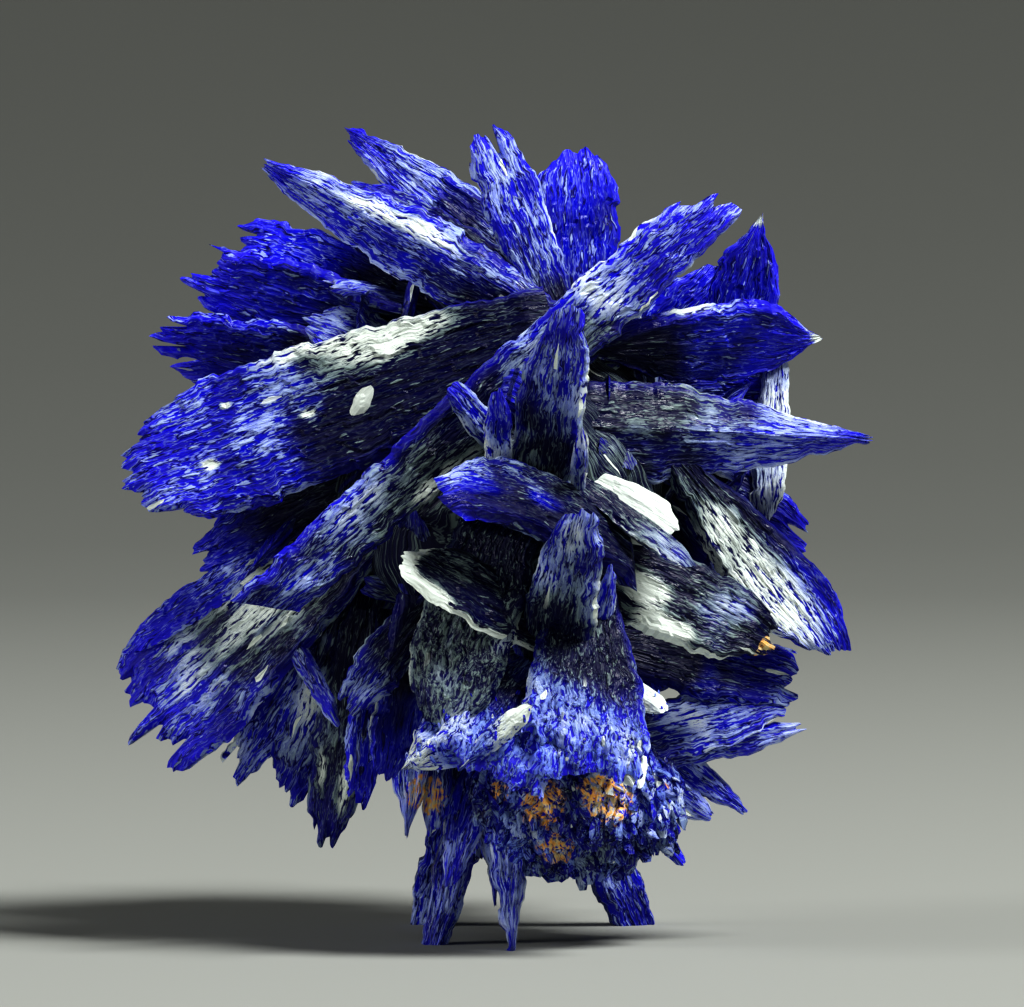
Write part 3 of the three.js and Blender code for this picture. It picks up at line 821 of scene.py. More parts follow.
MIDDLE = (
    Blade(
        "long bar", F.BAR, (-7.9, -9.45, -3.3), (9.1, -5.3, 11.9), (0.3, -1, -0.15), 3.1, 0.7,
        slant=0.04, twist=8, loose=True, frost=0.42, fade=0.3,
        painted_glare_and_shade=(
            (0.64, 0.3, 0.12, 0.6, 0.35), (0.27, 0.7, 0.09, 0.35, 0.7), (0.44, -0.2, 0.1, 0.9, -0.5),
            (0.75, 0, 0.4, 2, 0.15), (0.15, 0, 0.2, 2, 0.1), (0.4, -1, 0.35, 0.3, -0.5),
        ),
        greys=((0.25, 0, 0.35, 2, 0.6),),
    ),
    Blade("bar's seat", F.SLAB, (1, -3, 2.4), (0.6, -8.4, 4.6), (-1, 0, 0.3), 3, 1.6, frost=0.1),
    Blade(
        "front tongue", F.TONGUE, (1.6, -7, -0.8), (2.8, -12.6, 7.9), (-0.05, -1, 0.3), 3.1, 0.8,
        skew=0.05, frost=0.55,
    ),
    Blade(
        "tongue splint", F.LATH, (3.2, -7.5, -0.6), (3.4, -11, 2.9), (0.2, -1, 0.1), 0.8, 0.5, frost=0.7,
    ),
    Blade("front peg", F.LATH, (0.2, -7, -0.4), (0.1, -11.8, 4.5), (-0.1, -1, 0.2), 1.3, 0.6, frost=0.5),
    Blade("front chip", F.LATH, (0.6, -7, 1.4), (-1.8, -10.5, 4.5), (0, -1, 0.3), 1.5, 0.6, frost=0.3),
    Blade(
        "front crest", F.SLAB, (5, -8.4, -2.2), (-2.4, -13.1, 0.7), (0.1, -0.8, 0.6), 3.6, 0.9, bow=0.9,
        frost=0.52, dull=0.55, glow=0.3, painted_glare_and_shade=((0.4, -0.9, 0.6, 0.9, -0.9), (1, -0.7, 0.4, 0.5, -0.7)),
    ),
    Blade(
        "centre tongue", F.TONGUE, (2.2, -7.5, -7.2), (3.3, -13.2, 0), (-0.1, -1, 0.25), 3.2, 0.8,
        skew=0.08, frost=0.5, dull=0.45, glow=0.5,
        painted_glare_and_shade=((0.86, 0, 0.12, 0.5, 0.6), (0.6, 0.97, 0.5, 0.05, 0.3)),
        greys=((0.4, 0.1, 0.35, 1.2, 0.9),),
    ),
    Blade(
        "valley shelf", F.SLAB, (2, -8, -5.2), (-3.6, -12.2, -2), (0.3, -0.8, 0.5), 3.4, 0.5, skew=-0.12,
        frost=0.25, dull=2.2, glow=0, fade=0,
        painted_glare_and_shade=(
            (0.98, 0, 0.07, 1.2, 2.2), (0.84, -0.8, 0.2, 0.3, 2.2), (0.35, -0.98, 0.6, 0.07, 1.6),
            (0.35, -0.4, 0.35, 0.4, -0.8),
        ),
        greys=((0.35, -0.4, 0.35, 0.4, -0.8),),
    ),
    Blade(
        "right column", F.LATH, (3.8, -7.4, -6.6), (4.6, -10.4, -2.4), (0.2, -1, 0.1), 1, 0.6, frost=0.5,
    ),
)

RIGHT = (
    Blade(
        "right spear", F.SPEAR, (2.4, -5.6, 2.6), (15.1, -3, 2.1), (0, -1, 0.05), 4.4, 1.9, crest=-0.05,
        frost=0.45, dull=0, painted_glare_and_shade=((0.2, 0.6, 0.2, 0.5, -0.4),), greys=((0.35, -0.6, 0.45, 0.7, 0.9),),
    ),
    Blade(
        "right dark leaf", F.LEAF, (4, -4.5, 5.8), (13.2, 0, 6.1), (0.1, -0.85, -0.5), 4.2, 0.8,
        frost=0.03, dull=0, painted_glare_and_shade=((0.36, -0.97, 0.1, 0.05, 1.8), (0.98, 0, 0.03, 1, 1.6)),
    ),
    Blade(
        "right top spike", F.LEAF, (8.6, 1.4, 2.6), (10.7, 0.6, 11.2), (0.1, -1, 0.1), 3.3, 0.8, frost=0,
        painted_glare_and_shade=((0.98, 0, 0.03, 1, 1.4),),
    ),
    Blade("right top stub", F.LATH, (4, -0.5, 4), (9.1, 1, 9.2), (0.2, -1, -0.2), 2.2, 0.7, frost=0.1),
    Blade(
        "right upright", F.LATH, (11.3, 0.2, 5.6), (10.7, -2.4, -1.5), (-0.2, -1, 0.3), 1.8, 0.6,
        frost=0.4, dull=0, glow=0, fade=0, painted_glare_and_shade=((0.5, 0, 1.5, 3, 0.65),),
    ),
    Blade("right back slab", F.SLAB, (3, -0.4, 3.6), (11.6, 0.6, 4), (0.1, -1, 0), 3.6, 0.8, frost=0.1),
    Blade(
        "white leaf", F.PADDLE, (2.7, -6, 0.8), (7.1, -8.2, -1.6), (0.1, -1, 0.4), 2.5, 0.6, rough=0.4,
        glow=0, fade=0, painted_glare_and_shade=((0.5, 0, 1.5, 3, 2.2),),
    ),
    Blade(
        "grey band", F.LATH, (3.2, -7.8, 0.6), (8.1, -9, -2.9), (0.3, -0.45, 0.8), 2, 0.5, frost=0.5,
        dull=1.0, glow=0.1,
    ),
    Blade(
        "lower right plate", F.SLAB, (3.4, -7.2, -2.4), (11.2, -6, -5.9), (-0.1, -1, 0.3), 3.8, 0.8,
        frost=0.25, dull=1.8, glow=0,
        painted_glare_and_shade=((0.3, 0.1, 0.13, 0.36, 2.2), (0.46, 0.74, 0.16, 0.3, 2.2), (0.7, 0.98, 0.4, 0.07, 1.5)),
    ),
    Blade(
        "right leaf", F.KITE, (7.2, -4.5, 1.2), (13.5, -4.2, -6.5), (0.15, -1, 0.35), 3.8, 0.8,
        skew=-0.08, frost=0.2, dull=0.5, glow=0.3,
        painted_glare_and_shade=((0.5, 0.4, 0.5, 0.85, 1.2), (0.55, -0.85, 0.6, 0.4, -0.5)),
        greys=((0.45, -0.6, 0.45, 0.6, 0.7),),
    ),
    Blade(
        "right leaf's shadow", F.TORN, (5.6, -1.6, 2.6), (12.8, -1, -2.2), (0.2, -1, 0.1), 2.6, 0.8,
        frost=0.2,
    ),
    Blade(
        "lower right fan", F.TORN, (4, -3.6, -5.8), (12.5, -3, -7.7), (0.2, -1, 0.3), 3.3, 0.8,
        frost=0.5, glow=0.5, painted_glare_and_shade=((0.3, 0, 0.28, 2, -0.8),), greys=((0.3, 0, 0.28, 2, 0.8),),
    ),
    Blade(
        "lower right rib", F.FINGER, (4.6, -4.6, -9.8), (11.7, -3.2, -8.3), (0.1, -1, 0.6), 3.1, 0.6,
        frost=0.6,
    ),
    Blade(
        "lower right finger", F.FINGER, (4.8, -4.4, -10.6), (12.5, -3, -9.3), (0, -1, -0.1), 1.7, 0.8,
        frost=0.5,
    ),
    Blade(
        "lower right stub", F.FINGER, (5, -3.6, -9), (10.1, -2.6, -12.8), (0.2, -1, 0), 1.7, 0.8,
        frost=0.5,
    ),
    Blade(
        "lower right twin", F.FINGER, (4.4, -3.6, -10), (8.8, -3, -13.1), (0, -1, -0.2), 2.1, 0.9,
        frost=0.5,
    ),
    Blade(
        "bottom right finger", F.FINGER, (4.2, -2.4, -10.8), (7.7, -3, -15), (0.2, -1, 0), 1.2, 0.8,
        frost=0.5,
    ),
)

SKIRT = (
    Blade(
        "valley slab", F.SLAB, (0.1, -8.2, -1.6), (-2.3, -10.6, -9), (-0.15, -1, 0.05), 4.3, 0.9,
        frost=0.55, dull=1.8, glow=0.1, painted_glare_and_shade=((0.05, 0, 0.25, 2, -0.5),),
    ),
    Blade(
        "skirt left", F.LEAF, (1.6, -9, -7.2), (-3.7, -10.6, -10.6), (0.25, -0.8, 0.5), 2.9, 0.9,
        frost=0.55, painted_glare_and_shade=((1, 0, 0.2, 2, 0.5),),
    ),
    Blade(
        "skirt middle", F.FAN, (1.6, -8.5, -6.8), (-0.6, -11.6, -11), (0.05, -1, 0.25), 5.2, 1.1,
        frost=0.6, painted_glare_and_shade=((0.45, 0, 0.3, 0.6, -0.3),),
    ),
    Blade(
        "skirt right", F.FAN, (3.2, -8.5, -7), (3.5, -11.7, -11.1), (0.1, -1, 0.15), 4.9, 1.1,
        frost=0.55,
    ),
    Blade(
        "apron", F.FAN, (3.4, -8, -3.2), (3.6, -11.6, -10.6), (0.15, -1, 0.15), 5.4, 0.9, frost=0.5,
        dull=0.9, fade=0.5, painted_glare_and_shade=((0.2, 0, 0.4, 2, -0.4), (0.45, -0.6, 0.3, 0.5, -0.3)),
        greys=((0.3, 0, 0.4, 2, 0.7),),
    ),
    Blade(
        "pale chip", F.FINGER, (4.4, -7.4, -8.2), (5.6, -11.5, -11.2), (0.1, -1, -0.1), 2, 0.9,
        rough=0.5, frost=2.2, glow=0, fade=0,
    ),
    Blade(
        "chin leaf", F.LEAF, (-1.2, -11.1, -10.3), (1.6, -11.9, -7.7), (0.2, -1, 0.3), 1.2, 0.6,
        loose=True, frost=0.8, dull=0, glow=0.2, fade=0, painted_glare_and_shade=((0.85, 0, 0.35, 1, 1.2),),
    ),
    Blade(
        "pale nugget", F.FINGER, (5, -7.4, -7.4), (6.7, -10.2, -8.3), (0.3, -1, 0.4), 1.4, 0.7,
        rough=0.5, frost=2.2, glow=0, fade=0,
    ),
)

LOWER_POINTS = (
    Blade("left tooth", F.SPEAR, (-3, -4.4, -7.6), (-3.5, -5, -13.7), (-0.1, -1, 0), 2.4, 0.9, dull=0.5),
    Blade("middle tooth", F.LATH, (-1.8, -4, -8), (-2.5, -4.6, -13.7), (0.1, -1, 0), 1.5, 0.8, dull=0.7),
    Blade("right tooth", F.LATH, (-0.8, -3.6, -8), (-1.4, -4, -13.9), (-0.2, -1, 0), 1.7, 0.8, dull=0.8),
    Blade(
        "lower left thorn", F.FINGER, (-0.4, -3.8, -10), (-1.9, -5, -15.8), (-0.1, -1, 0), 1.9, 0.7,
        frost=0.5,
    ),
    Blade(
        "middle thorn", F.SPEAR, (-0.1, -3.6, -10.6), (0, -4.8, -16.4), (0.1, -1, 0), 1.9, 0.8, dull=0.6,
        glow=0.35,
    ),
    Blade(
        "front foot", F.SPEAR, (0.6, -3.8, -10.6), (0.7, -6.4, -18.8), (0, -1, 0.1), 2.3, 1.3, dull=0.6,
        glow=0.35,
    ),
    Blade(
        "left foot", F.FINGER, (-0.4, -1.8, -10), (-2.9, -3.8, -20), (-0.3, -1, 0), 2, 1.2, dull=0.6,
        glow=0.35,
    ),
    Blade(
        "left back foot", F.LATH, (-0.6, 1.6, -9), (-3.2, 6.6, -20), (0.4, 1, 0.2), 2.3, 1.3, dull=0.6,
        glow=0.35,
    ),
    Blade(
        "right back foot", F.LATH, (1.8, 1.6, -9), (6.6, 6.4, -20), (-0.5, 1, 0.2), 2.5, 1.3, dull=0.6,
        glow=0.35,
    ),
)


# ---- Blades grown by rule -----------------------------------------------------------------------------

GOLDEN_ANGLE = math.pi * (3 - math.sqrt(5))
ROOT_REACH = 6.4
FACE_WANDER = 0.7  # how far a blade's face turns aside, as the range of each part of its direction
PLAIN_WIDTH, PLAIN_THICK = 3.0, 0.8


def spread_direction(n: int, count: int, lowest: float) -> Array:
    """The direction of the nth of count that are spread evenly over a sphere, from +Y round to the lowest.

    Args:
        n: Which one.
        count: How many there are.
        lowest: How far along +Y the last one points, from 1 at the back to -1 at the front.

    Returns:
        A direction with a length of 1.
    """
    height = 1 - (1 - lowest) * (2 * n + 1) / (2 * count)
    ring = math.sqrt(1 - height * height)
    return np.array([ring * math.cos(n * GOLDEN_ANGLE), height, ring * math.sin(n * GOLDEN_ANGLE)])


def any_direction(seed: int) -> Array:
    """A direction by chance, with a length of 1."""
    return unit([scatter(seed + step) - 0.5 for step in (0.45, 0.55, 0.65)])


def leaning(direction: Array, pole: Array, lean: float, reach: float, form: Forms, seed: int) -> Blade:
    """A blade whose tip lies along a direction and its root nearer to a pole, and whose face looks outwards.

    Args:
        direction: Where its tip lies, seen from the heart.
        pole: What its root leans towards.
        lean: How far, 0 for not at all.
        reach: How far its tip is from the heart.
        form: Its form.
        seed: Its seed, which turns its face a little.

    Returns:
        A blade of a plain width and thickness, for its maker to set.
    """
    root = unit(direction * (1 - lean) + pole * lean) * ROOT_REACH
    wander = np.array([FACE_WANDER * (scatter(seed + step) - 0.5) for step in (0.3, 0.5, 0.7)])
    tip, face = tuple(direction * reach), tuple(direction + wander)
    return Blade(f"blade {seed}", form, tuple(root), tip, face, PLAIN_WIDTH, PLAIN_THICK)


@dataclass
class BackPetals:
    """The blades of the back: spread evenly over it, and leaning away from its middle as petals do.

    pole is the way that the back's middle points, and lean how far their roots lean towards it. reach is how
    far their tips are from the heart, rim_reach how far those at the rim may stick out sideways, and
    rim_height how far along +Y the last one points.
    """

    count: int = 22
    pole: Triple = (0.1, 1, 0.12)
    reach: Range = (11.6, 14.2)
    rim_reach: float = 11.8
    rim_height: float = -0.1
    width: Range = (3.8, 6.2)
    thick: Range = (0.7, 1.1)
    frost: Range = (0.3, 0.75)
    twist: Range = (-4, 4)
    lean: float = 0.55
    forms: tuple[Forms, ...] = (F.PADDLE, F.TORN, F.LEAF, F.SLAB, F.FAN, F.TONGUE, F.SWORD)

    def blades(self) -> list[Blade]:
        """The back's blades. The nearer one lies to the rim, the shorter it is.

        Returns:
            The blades.
        """
        made = []
        for n in range(self.count):
            seed = 300 + 10 * n
            direction = spread_direction(n, self.count, self.rim_height)
            sideways = math.hypot(direction[0], direction[2])
            reach = min(within(self.reach, scatter(seed)), self.rim_reach / sideways)
            form = self.forms[n % len(self.forms)]
            plain = leaning(direction, unit(self.pole), self.lean, reach, form, seed)
            width = within(self.width, scatter(seed + 0.1))
            thick = within(self.thick, scatter(seed + 0.2))
            frost = within(self.frost, scatter(seed + 0.8))
            twist = within(self.twist, scatter(seed + 0.9))
            made.append(replace(plain, width=width, thick=thick, frost=frost, twist=twist))
        return made


@dataclass
class SideBand:
    """The short blades between the front and the back, which lean one way and the other by turns.

    The first few are broad. jitter is how unevenly they are spread, as a share of the space between them,
    sideways how far they point to the back or the front by turns, and root_sideways how far their roots
    lean the other way. The rest are smaller and fill the gaps between them, in a band as wide as
    filling_band to each side.
    """

    broad: int = 12
    reach: Range = (10.2, 11.6)
    width: Range = (3.6, 5)
    thick: float = 0.8
    lean: float = 0.5
    jitter: float = 0.4
    sideways: float = 0.22
    root_sideways: float = 0.4
    filling: int = 66
    filling_reach: Range = (8.8, 11.2)
    filling_width: Range = (1.4, 3.4)
    filling_thick: float = 0.6
    filling_lean: float = 0.4
    filling_frost: Range = (0.2, 0.7)
    filling_band: float = 0.55
    forms: tuple[Forms, ...] = (F.TORN, F.LATH, F.FINGER, F.LEAF, F.SLAB)

    def broad_blades(self) -> list[Blade]:
        """The broad blades, evenly round the sides.

        Returns:
            The blades.
        """
        made = []
        for n in range(self.broad):
            seed = 900 + 10 * n
            turn = 2 * math.pi * (n + self.jitter * scatter(seed + 0.4)) / self.broad
            hand = 1 if n % 2 else -1
            direction = unit((math.cos(turn), hand * self.sideways, math.sin(turn)))
            pole = np.array([-hand * math.sin(turn), -self.root_sideways * hand, hand * math.cos(turn)])
            plain = leaning(direction, pole, self.lean, within(self.reach, scatter(seed)), F.TORN, seed)
            made.append(replace(plain, width=within(self.width, scatter(seed + 0.1)), thick=self.thick))
        return made

    def filling_blades(self) -> list[Blade]:
        """The smaller blades, by chance over a band round the sides.

        Returns:
            The blades.
        """
        made = []
        for n in range(self.filling):
            seed = 2100 + 10 * n
            turn = n * GOLDEN_ANGLE
            height = self.filling_band * (2 * scatter(seed + 0.4) - 1)
            direction = unit((math.cos(turn), height, math.sin(turn)))
            reach = within(self.filling_reach, scatter(seed))
            form = self.forms[n % len(self.forms)]
            plain = leaning(direction, any_direction(seed), self.filling_lean, reach, form, seed)
            width = within(self.filling_width, scatter(seed + 0.1))
            frost = within(self.filling_frost, scatter(seed + 0.8))
            made.append(replace(plain, width=width, thick=self.filling_thick, frost=frost))
        return made


@dataclass
class HeartFilling:
    """The small dull blades close to the heart, which show as painted shade in the gaps between the big ones.

    front_reach is the longest that those of the front may be, which point further than front along -Y.
    """

    count: int = 190
    reach: Range = (8.0, 9.4)
    front_reach: float = 8.5
    front: float = 0.4
    width: Range = (1.1, 2.6)
    thick: float = 0.5
    lean: float = 0.35
    frost: float = 0.3
    # Painted shade: the blades that show in the gaps are dull and dark.
    dull: float = 0.75
    forms: tuple[Forms, ...] = (F.LATH, F.TORN, F.FINGER, F.SLAB, F.LEAF)

    def blades(self) -> list[Blade]:
        """The small blades, spread evenly and leaning every way.

        Returns:
            The blades.
        """
        made = []
        for n in range(self.count):
            seed = 4000 + 10 * n
            direction = spread_direction(n, self.count, -1)
            longest = self.front_reach if -direction[1] > self.front else self.reach[1]
            reach = within((self.reach[0], longest), scatter(seed))
            form = self.forms[n % len(self.forms)]
            plain = leaning(direction, any_direction(seed), self.lean, reach, form, seed)
            width = within(self.width, scatter(seed + 0.1))
            made.append(replace(plain, width=width, thick=self.thick, frost=self.frost, dull=self.dull))
        return made


@dataclass
class Fringe:
    """The stubs round the mass under the rosette, which hang from it: broad ones, and thin ones between.

    Their roots are at root_spread of the spread from its middle and root_rise above that. Their tips are at
    tip_spread of the spread, and face_rise is how far their faces look up.
    """

    middle: Triple = (1.9, -1.2, -10.6)
    spread: float = 3.9
    root_spread: float = 0.7
    root_rise: float = 1.0
    tip_spread: Range = (0.8, 1.1)
    face_rise: float = 0.2
    dull: float = 0.4
    broad: int = 8
    broad_drop: Range = (3.6, 4.6)
    broad_width: Range = (1.8, 2.8)
    broad_thick: float = 0.8
    thin: int = 34
    thin_drop: Range = (2.4, 4.6)
    thin_width: Range = (0.5, 1.3)
    thin_thick: float = 0.5

    def ring(self, count: int, drop: Range, width: Range, thick: float, first: int) -> list[Blade]:
        """One ring of stubs, that face outwards.

        Args:
            count: How many.
            drop: How far their tips hang below the middle, the least and the most.
            width: How wide they are, the least and the most.
            thick: How thick they are.
            first: The first one's seed.

        Returns:
            The stubs.
        """
        made = []
        for n in range(count):
            seed = first + 10 * n
            turn = 2 * math.pi * n / count
            out = np.array([math.sin(turn), -math.cos(turn), 0.0])
            root = np.asarray(self.middle) + out * self.root_spread * self.spread
            root = root + np.array([0, 0, self.root_rise])
            tip = np.asarray(self.middle) + out * self.spread * within(self.tip_spread, scatter(seed + 0.6))
            tip = tip - np.array([0, 0, within(drop, scatter(seed))])
            face = (out[0], out[1], self.face_rise)
            breadth = within(width, scatter(seed + 0.1))
            stub = Blade(f"stub {seed}", F.TORN, tuple(root), tuple(tip), face, breadth, thick)
            made.append(replace(stub, loose=True, dull=self.dull))
        return made

    def blades(self) -> list[Blade]:
        """Both rings of stubs."""
        broad = self.ring(self.broad, self.broad_drop, self.broad_width, self.broad_thick, 1500)
        return broad + self.ring(self.thin, self.thin_drop, self.thin_width, self.thin_thick, 1700)


# ---- The close-grown middle ---------------------------------------------------------------------------


@dataclass(frozen=True)
class Lump:
    """A rough closed lump that the blades start in: its middle, its radii and how rough it is.

    grain is the size of its bumps in millimetres, rows the number of points along each side of its mesh, and
    growth what its finish reads all over it. finer is how many times smaller its second bumps are, mean_bump
    the height that all of them have on average, and map_tilt how far its depth shifts the map.
    """

    middle: Triple
    radii: Triple
    rough: float
    grain: float
    rows: int
    growth: tuple[float, ...] = (0.35, 0.0, 0.5, 0.8)
    finer: float = 2.3
    mean_bump: float = 1.9
    map_tilt: float = 3.0

    def surface(self, seed: int) -> Surface:
        """The lump as two square grids joined at their edges and swelled to a rough ball.

        A place (u, v) on the square goes to x = u sqrt(1 - v^2 / 2) and z = v sqrt(1 - u^2 / 2) on a disc,
        and each side bulges to y = +-sqrt(1 - x^2 - z^2). The radius is then 1 + smooth noise, times the
        radii.

        Args:
            seed: A whole number that gives a different surface.

        Returns:
            The surface.
        """
        u = np.linspace(-1, 1, self.rows)[:, None]
        v, side = ring_places(self.rows - 1)
        x = u * np.sqrt(1 - v * v / 2)
        z = v * np.sqrt(1 - u * u / 2)
        y = side * np.sqrt(np.clip(1 - x * x - z * z, 0, 1))
        ball = np.stack(np.broadcast_arrays(x, y, z), axis=-1)
        scaled = ball * self.radii / self.grain + 40
        layers = ((0, 1, 1.0), (1, 2, 1.0), (2, 0, 1.0), (0, 2, self.finer), (1, 0, self.finer))
        bumps = sum(
            rolling(scaled[..., a] * step, scaled[..., b] * step, seed + a) / step for a, b, step in layers
        )
        points = ball * self.radii * (1 + self.rough * (bumps - self.mean_bump))[..., None] + self.middle
        growth = np.tile(np.array(self.growth), (points.shape[0] * points.shape[1], 1))
        slanted = points[..., 2] + self.map_tilt * points[..., 1]
        grain = np.stack([points[..., 0] + 90, slanted + 90], axis=-1)
        return Surface(
            points.reshape(-1, 3),
            tube_quads(*points.shape[:2]),
            grain.reshape(-1, 2),
            growth,
            rust_at(points).ravel(),
        ).without_strays()


MIDDLE_LUMPS = (
    Lump((0, 0, 0), (7.5, 7.8, 7.7), 0.05, 1.5, 70),
    Lump((1.9, -1.2, -10.6), (4.2, 4.0, 3.9), 0.05, 1.0, 56),
    Lump((3.2, -4.4, -11.9), (4.2, 2.7, 2.7), 0.07, 0.8, 56),
)


# ---- Small grains -------------------------------------------------------------------------------------


@dataclass(frozen=True)
class Grains:
    """Many tiny crystals that stand on a surface: each one a flat lozenge of eighteen faces with six sides.

    length is its range in millimetres, slim its width and flat its thickness as shares of that. lean is how
    far it leans from straight out, sink how much of its length is inside what it grows on, and hang how far
    it lies down along the surface instead of standing on it. frost, dull and glow are what its finish reads,
    as for a blade. smallness is the power that makes small ones more common, and map_spread how far apart
    their maps are.
    """

    count: int
    length: Range
    slim: Range = (0.45, 0.9)
    flat: Range = (0.2, 0.45)
    lean: float = 0.9
    sink: float = 0.3
    hang: float = 0.0
    frost: Range = (0.3, 1.0)
    dull: float = 0.3
    glow: Range = (0.35, 0.85)
    smallness: float = 1.6
    map_spread: float = 60.0

    def surface(self, places: Array, outward: Array, seed: int) -> Surface:
        """The crystals, all at once as arrays.

        Point = place + along x length x (u / 2 + 1 / 2 - sink) + across x width x v x outline(u) / 2 + face
        x thickness x lift(u, v) / 2. The outline is 1 - |u|^3 / 2, and the lift nothing at the ends and the
        edges.

        Args:
            places: Where each one stands.
            outward: The direction out of the surface there.
            seed: A whole number that gives a different lot.

        Returns:
            One surface that holds them all.
        """
        n = np.arange(self.count)
        draw = [chance(n, k, seed)[:, None, None] for k in range(9)]
        wander = np.stack([draw[k][:, 0, 0] - 0.5 for k in range(3)], axis=-1)
        down = unit(np.array([0.0, 0.0, -1.0]) + outward * outward[:, 2:])
        along = unit((1 - self.hang) * outward + self.hang * down + 2 * self.lean * wander)
        spin = np.stack([draw[k][:, 0, 0] - 0.5 for k in range(3, 6)], axis=-1)
        across = unit(np.cross(along, (1 - self.hang) * spin + self.hang * outward))
        face = np.cross(along, across)
        length = within(self.length, draw[6] ** self.smallness)
        width = length * within(self.slim, draw[7])
        thick = length * within(self.flat, draw[8])
        u = np.array([-1.0, -0.5, 0.5, 1.0])[None, :, None]
        v, side = (row[None] for row in ring_places(3))
        outline = 1 - 0.5 * np.abs(u) ** 3
        lift = side * (np.abs(v) < 1) * (np.abs(u) < 1)
        along_by = length * (u / 2 + 0.5 - self.sink) + 0 * v
        across_by = -width * v * outline / 2
        points = (
            places[:, None, None, :]
            + along[:, None, None, :] * along_by[..., None]
            + across[:, None, None, :] * across_by[..., None]
            + face[:, None, None, :] * (thick * lift / 2)[..., None]
        )
        rows, columns = points.shape[1:3]
        quads = tube_quads(rows, columns)[None] + (n * rows * columns)[:, None, None]
        frost = within(self.frost, draw[5]) + 0 * along_by
        tip = within(self.glow, draw[4]) + 0 * along_by
        growth = np.stack([frost, tip, draw[3] + 0 * along_by, self.dull + 0 * along_by], axis=-1)
        map_along, map_across = self.map_spread * draw[2], self.map_spread * draw[1]
        grain = np.stack([along_by + map_along, across_by + map_across + 10], axis=-1)
        return Surface(
            points.reshape(-1, 3),
            quads.reshape(-1, 4),
            grain.reshape(-1, 2),
            growth.reshape(-1, 4),
            rust_at(points).ravel(),
        ).without_strays()

    def grown_on(self, ground: Surface, where: Array, middle: Triple, seed: int) -> Surface:
        """The crystals on chance places of a surface, standing away from a middle.

        Args:
            ground: What they grow on.
            where: Which of its points may carry one.
            middle: What they stand away from.
            seed: A whole number that gives a different lot.

        Returns:
            One surface that holds them all.
        """
        choices = np.flatnonzero(where)
        draw = (chance(np.arange(self.count), 17, seed) * len(choices)).astype(np.int64)
        picked = choices[draw % len(choices)]
        places = ground.points[picked]
        return self.surface(places, unit(places - middle), seed)


# ---- Finish -------------------------------------------------------------------------------------------


@dataclass
class NodeSheet:
    """A shader's node tree, with short ways to add nodes to it and join them."""

    tree: bpy.types.NodeTree

    def add(self, kind: str, **settings: object) -> bpy.types.Node:
        """Adds a node.

        Args:
            kind: Its type.
            settings: Its properties by name.

        Returns:
            The node.
        """
        node = self.tree.nodes.new(kind)
        for name, value in settings.items():
            setattr(node, name, value)
        return node

    def feed(self, socket: bpy.types.NodeSocket, value: object) -> None:
        """Joins a socket to another, or sets its own value.

        Args:
            socket: The input that gets it.
            value: Another node's output, or a number, a vector or a colour.
        """
        if isinstance(value, bpy.types.NodeSocket):
            self.tree.links.new(value, socket)
        else:
            socket.default_value = value

    def math(self, operation: str, first: object, second: object) -> bpy.types.NodeSocket:
        """A sum, product or other operation on two numbers.

        Args:
            operation: Its name in the node.
            first: The first number or output.
            second: The second one.

        Returns:
            The result.
        """
        node = self.add("ShaderNodeMath", operation=operation)
        self.feed(node.inputs[0], first)
        self.feed(node.inputs[1], second)
        return node.outputs[0]

    def size(self, value: object) -> bpy.types.NodeSocket:
        """A number without its sign."""
        return self.math("MAXIMUM", value, self.math("MULTIPLY", value, -1.0))

    def vector(self, operation: str, first: object, second: object) -> bpy.types.NodeSocket:
        """A sum, product or other operation on two vectors.

        Args:
            operation: Its name in the node.
            first: The first vector or output.
            second: The second one.

        Returns:
            The result, which is a number for a distance.
        """
        node = self.add("ShaderNodeVectorMath", operation=operation)
        self.feed(node.inputs[0], first)
        self.feed(node.inputs[1], second)
        return node.outputs["Value" if operation == "DISTANCE" else "Vector"]

    def rise(
        self, value: object, low: object, high: object, start: object = 0.0, end: object = 1.0
    ) -> bpy.types.NodeSocket:
        """A smooth step from start to end as a value goes from low to high.

        Args:
            value: The value.
            low: Where the step begins.
            high: Where it ends.
            start: The result below it.
            end: The result above it.

        Returns:
            The result.
        """
        node = self.add("ShaderNodeMapRange", interpolation_type="SMOOTHSTEP")
        given = {"Value": value, "From Min": low, "From Max": high, "To Min": start, "To Max": end}
        for name, number in given.items():
            self.feed(node.inputs[name], number)
        return node.outputs["Result"]

    def mix(self, share: object, first: object, second: object) -> bpy.types.NodeSocket:
        """A blend of two colours.

        Args:
            share: How much of the second, from 0 to 1.
            first: The first colour.
            second: The second colour.

        Returns:
            The blend.
        """
        node = self.add("ShaderNodeMix", data_type="RGBA")
        colours = [socket for socket in node.inputs if socket.type == "RGBA"]
        self.feed(node.inputs["Factor"], share)
        self.feed(colours[0], first)
        self.feed(colours[1], second)
        return next(socket for socket in node.outputs if socket.type == "RGBA")

    def noise(self, place: object, scale: float, detail: float = 2.0, space: str = "2D") -> bpy.types.Node:
        """A smooth noise texture.

        Args:
            place: The vector that it reads.
            scale: How many of its waves there are to a unit of that.
            detail: How many finer layers it has.
            space: "2D" on a flat map, or "3D".

        Returns:
            The texture's node.
        """
        node = self.add("ShaderNodeTexNoise", noise_dimensions=space)
        self.feed(node.inputs["Vector"], place)
        node.inputs["Scale"].default_value = scale
        node.inputs["Detail"].default_value = detail
        return node


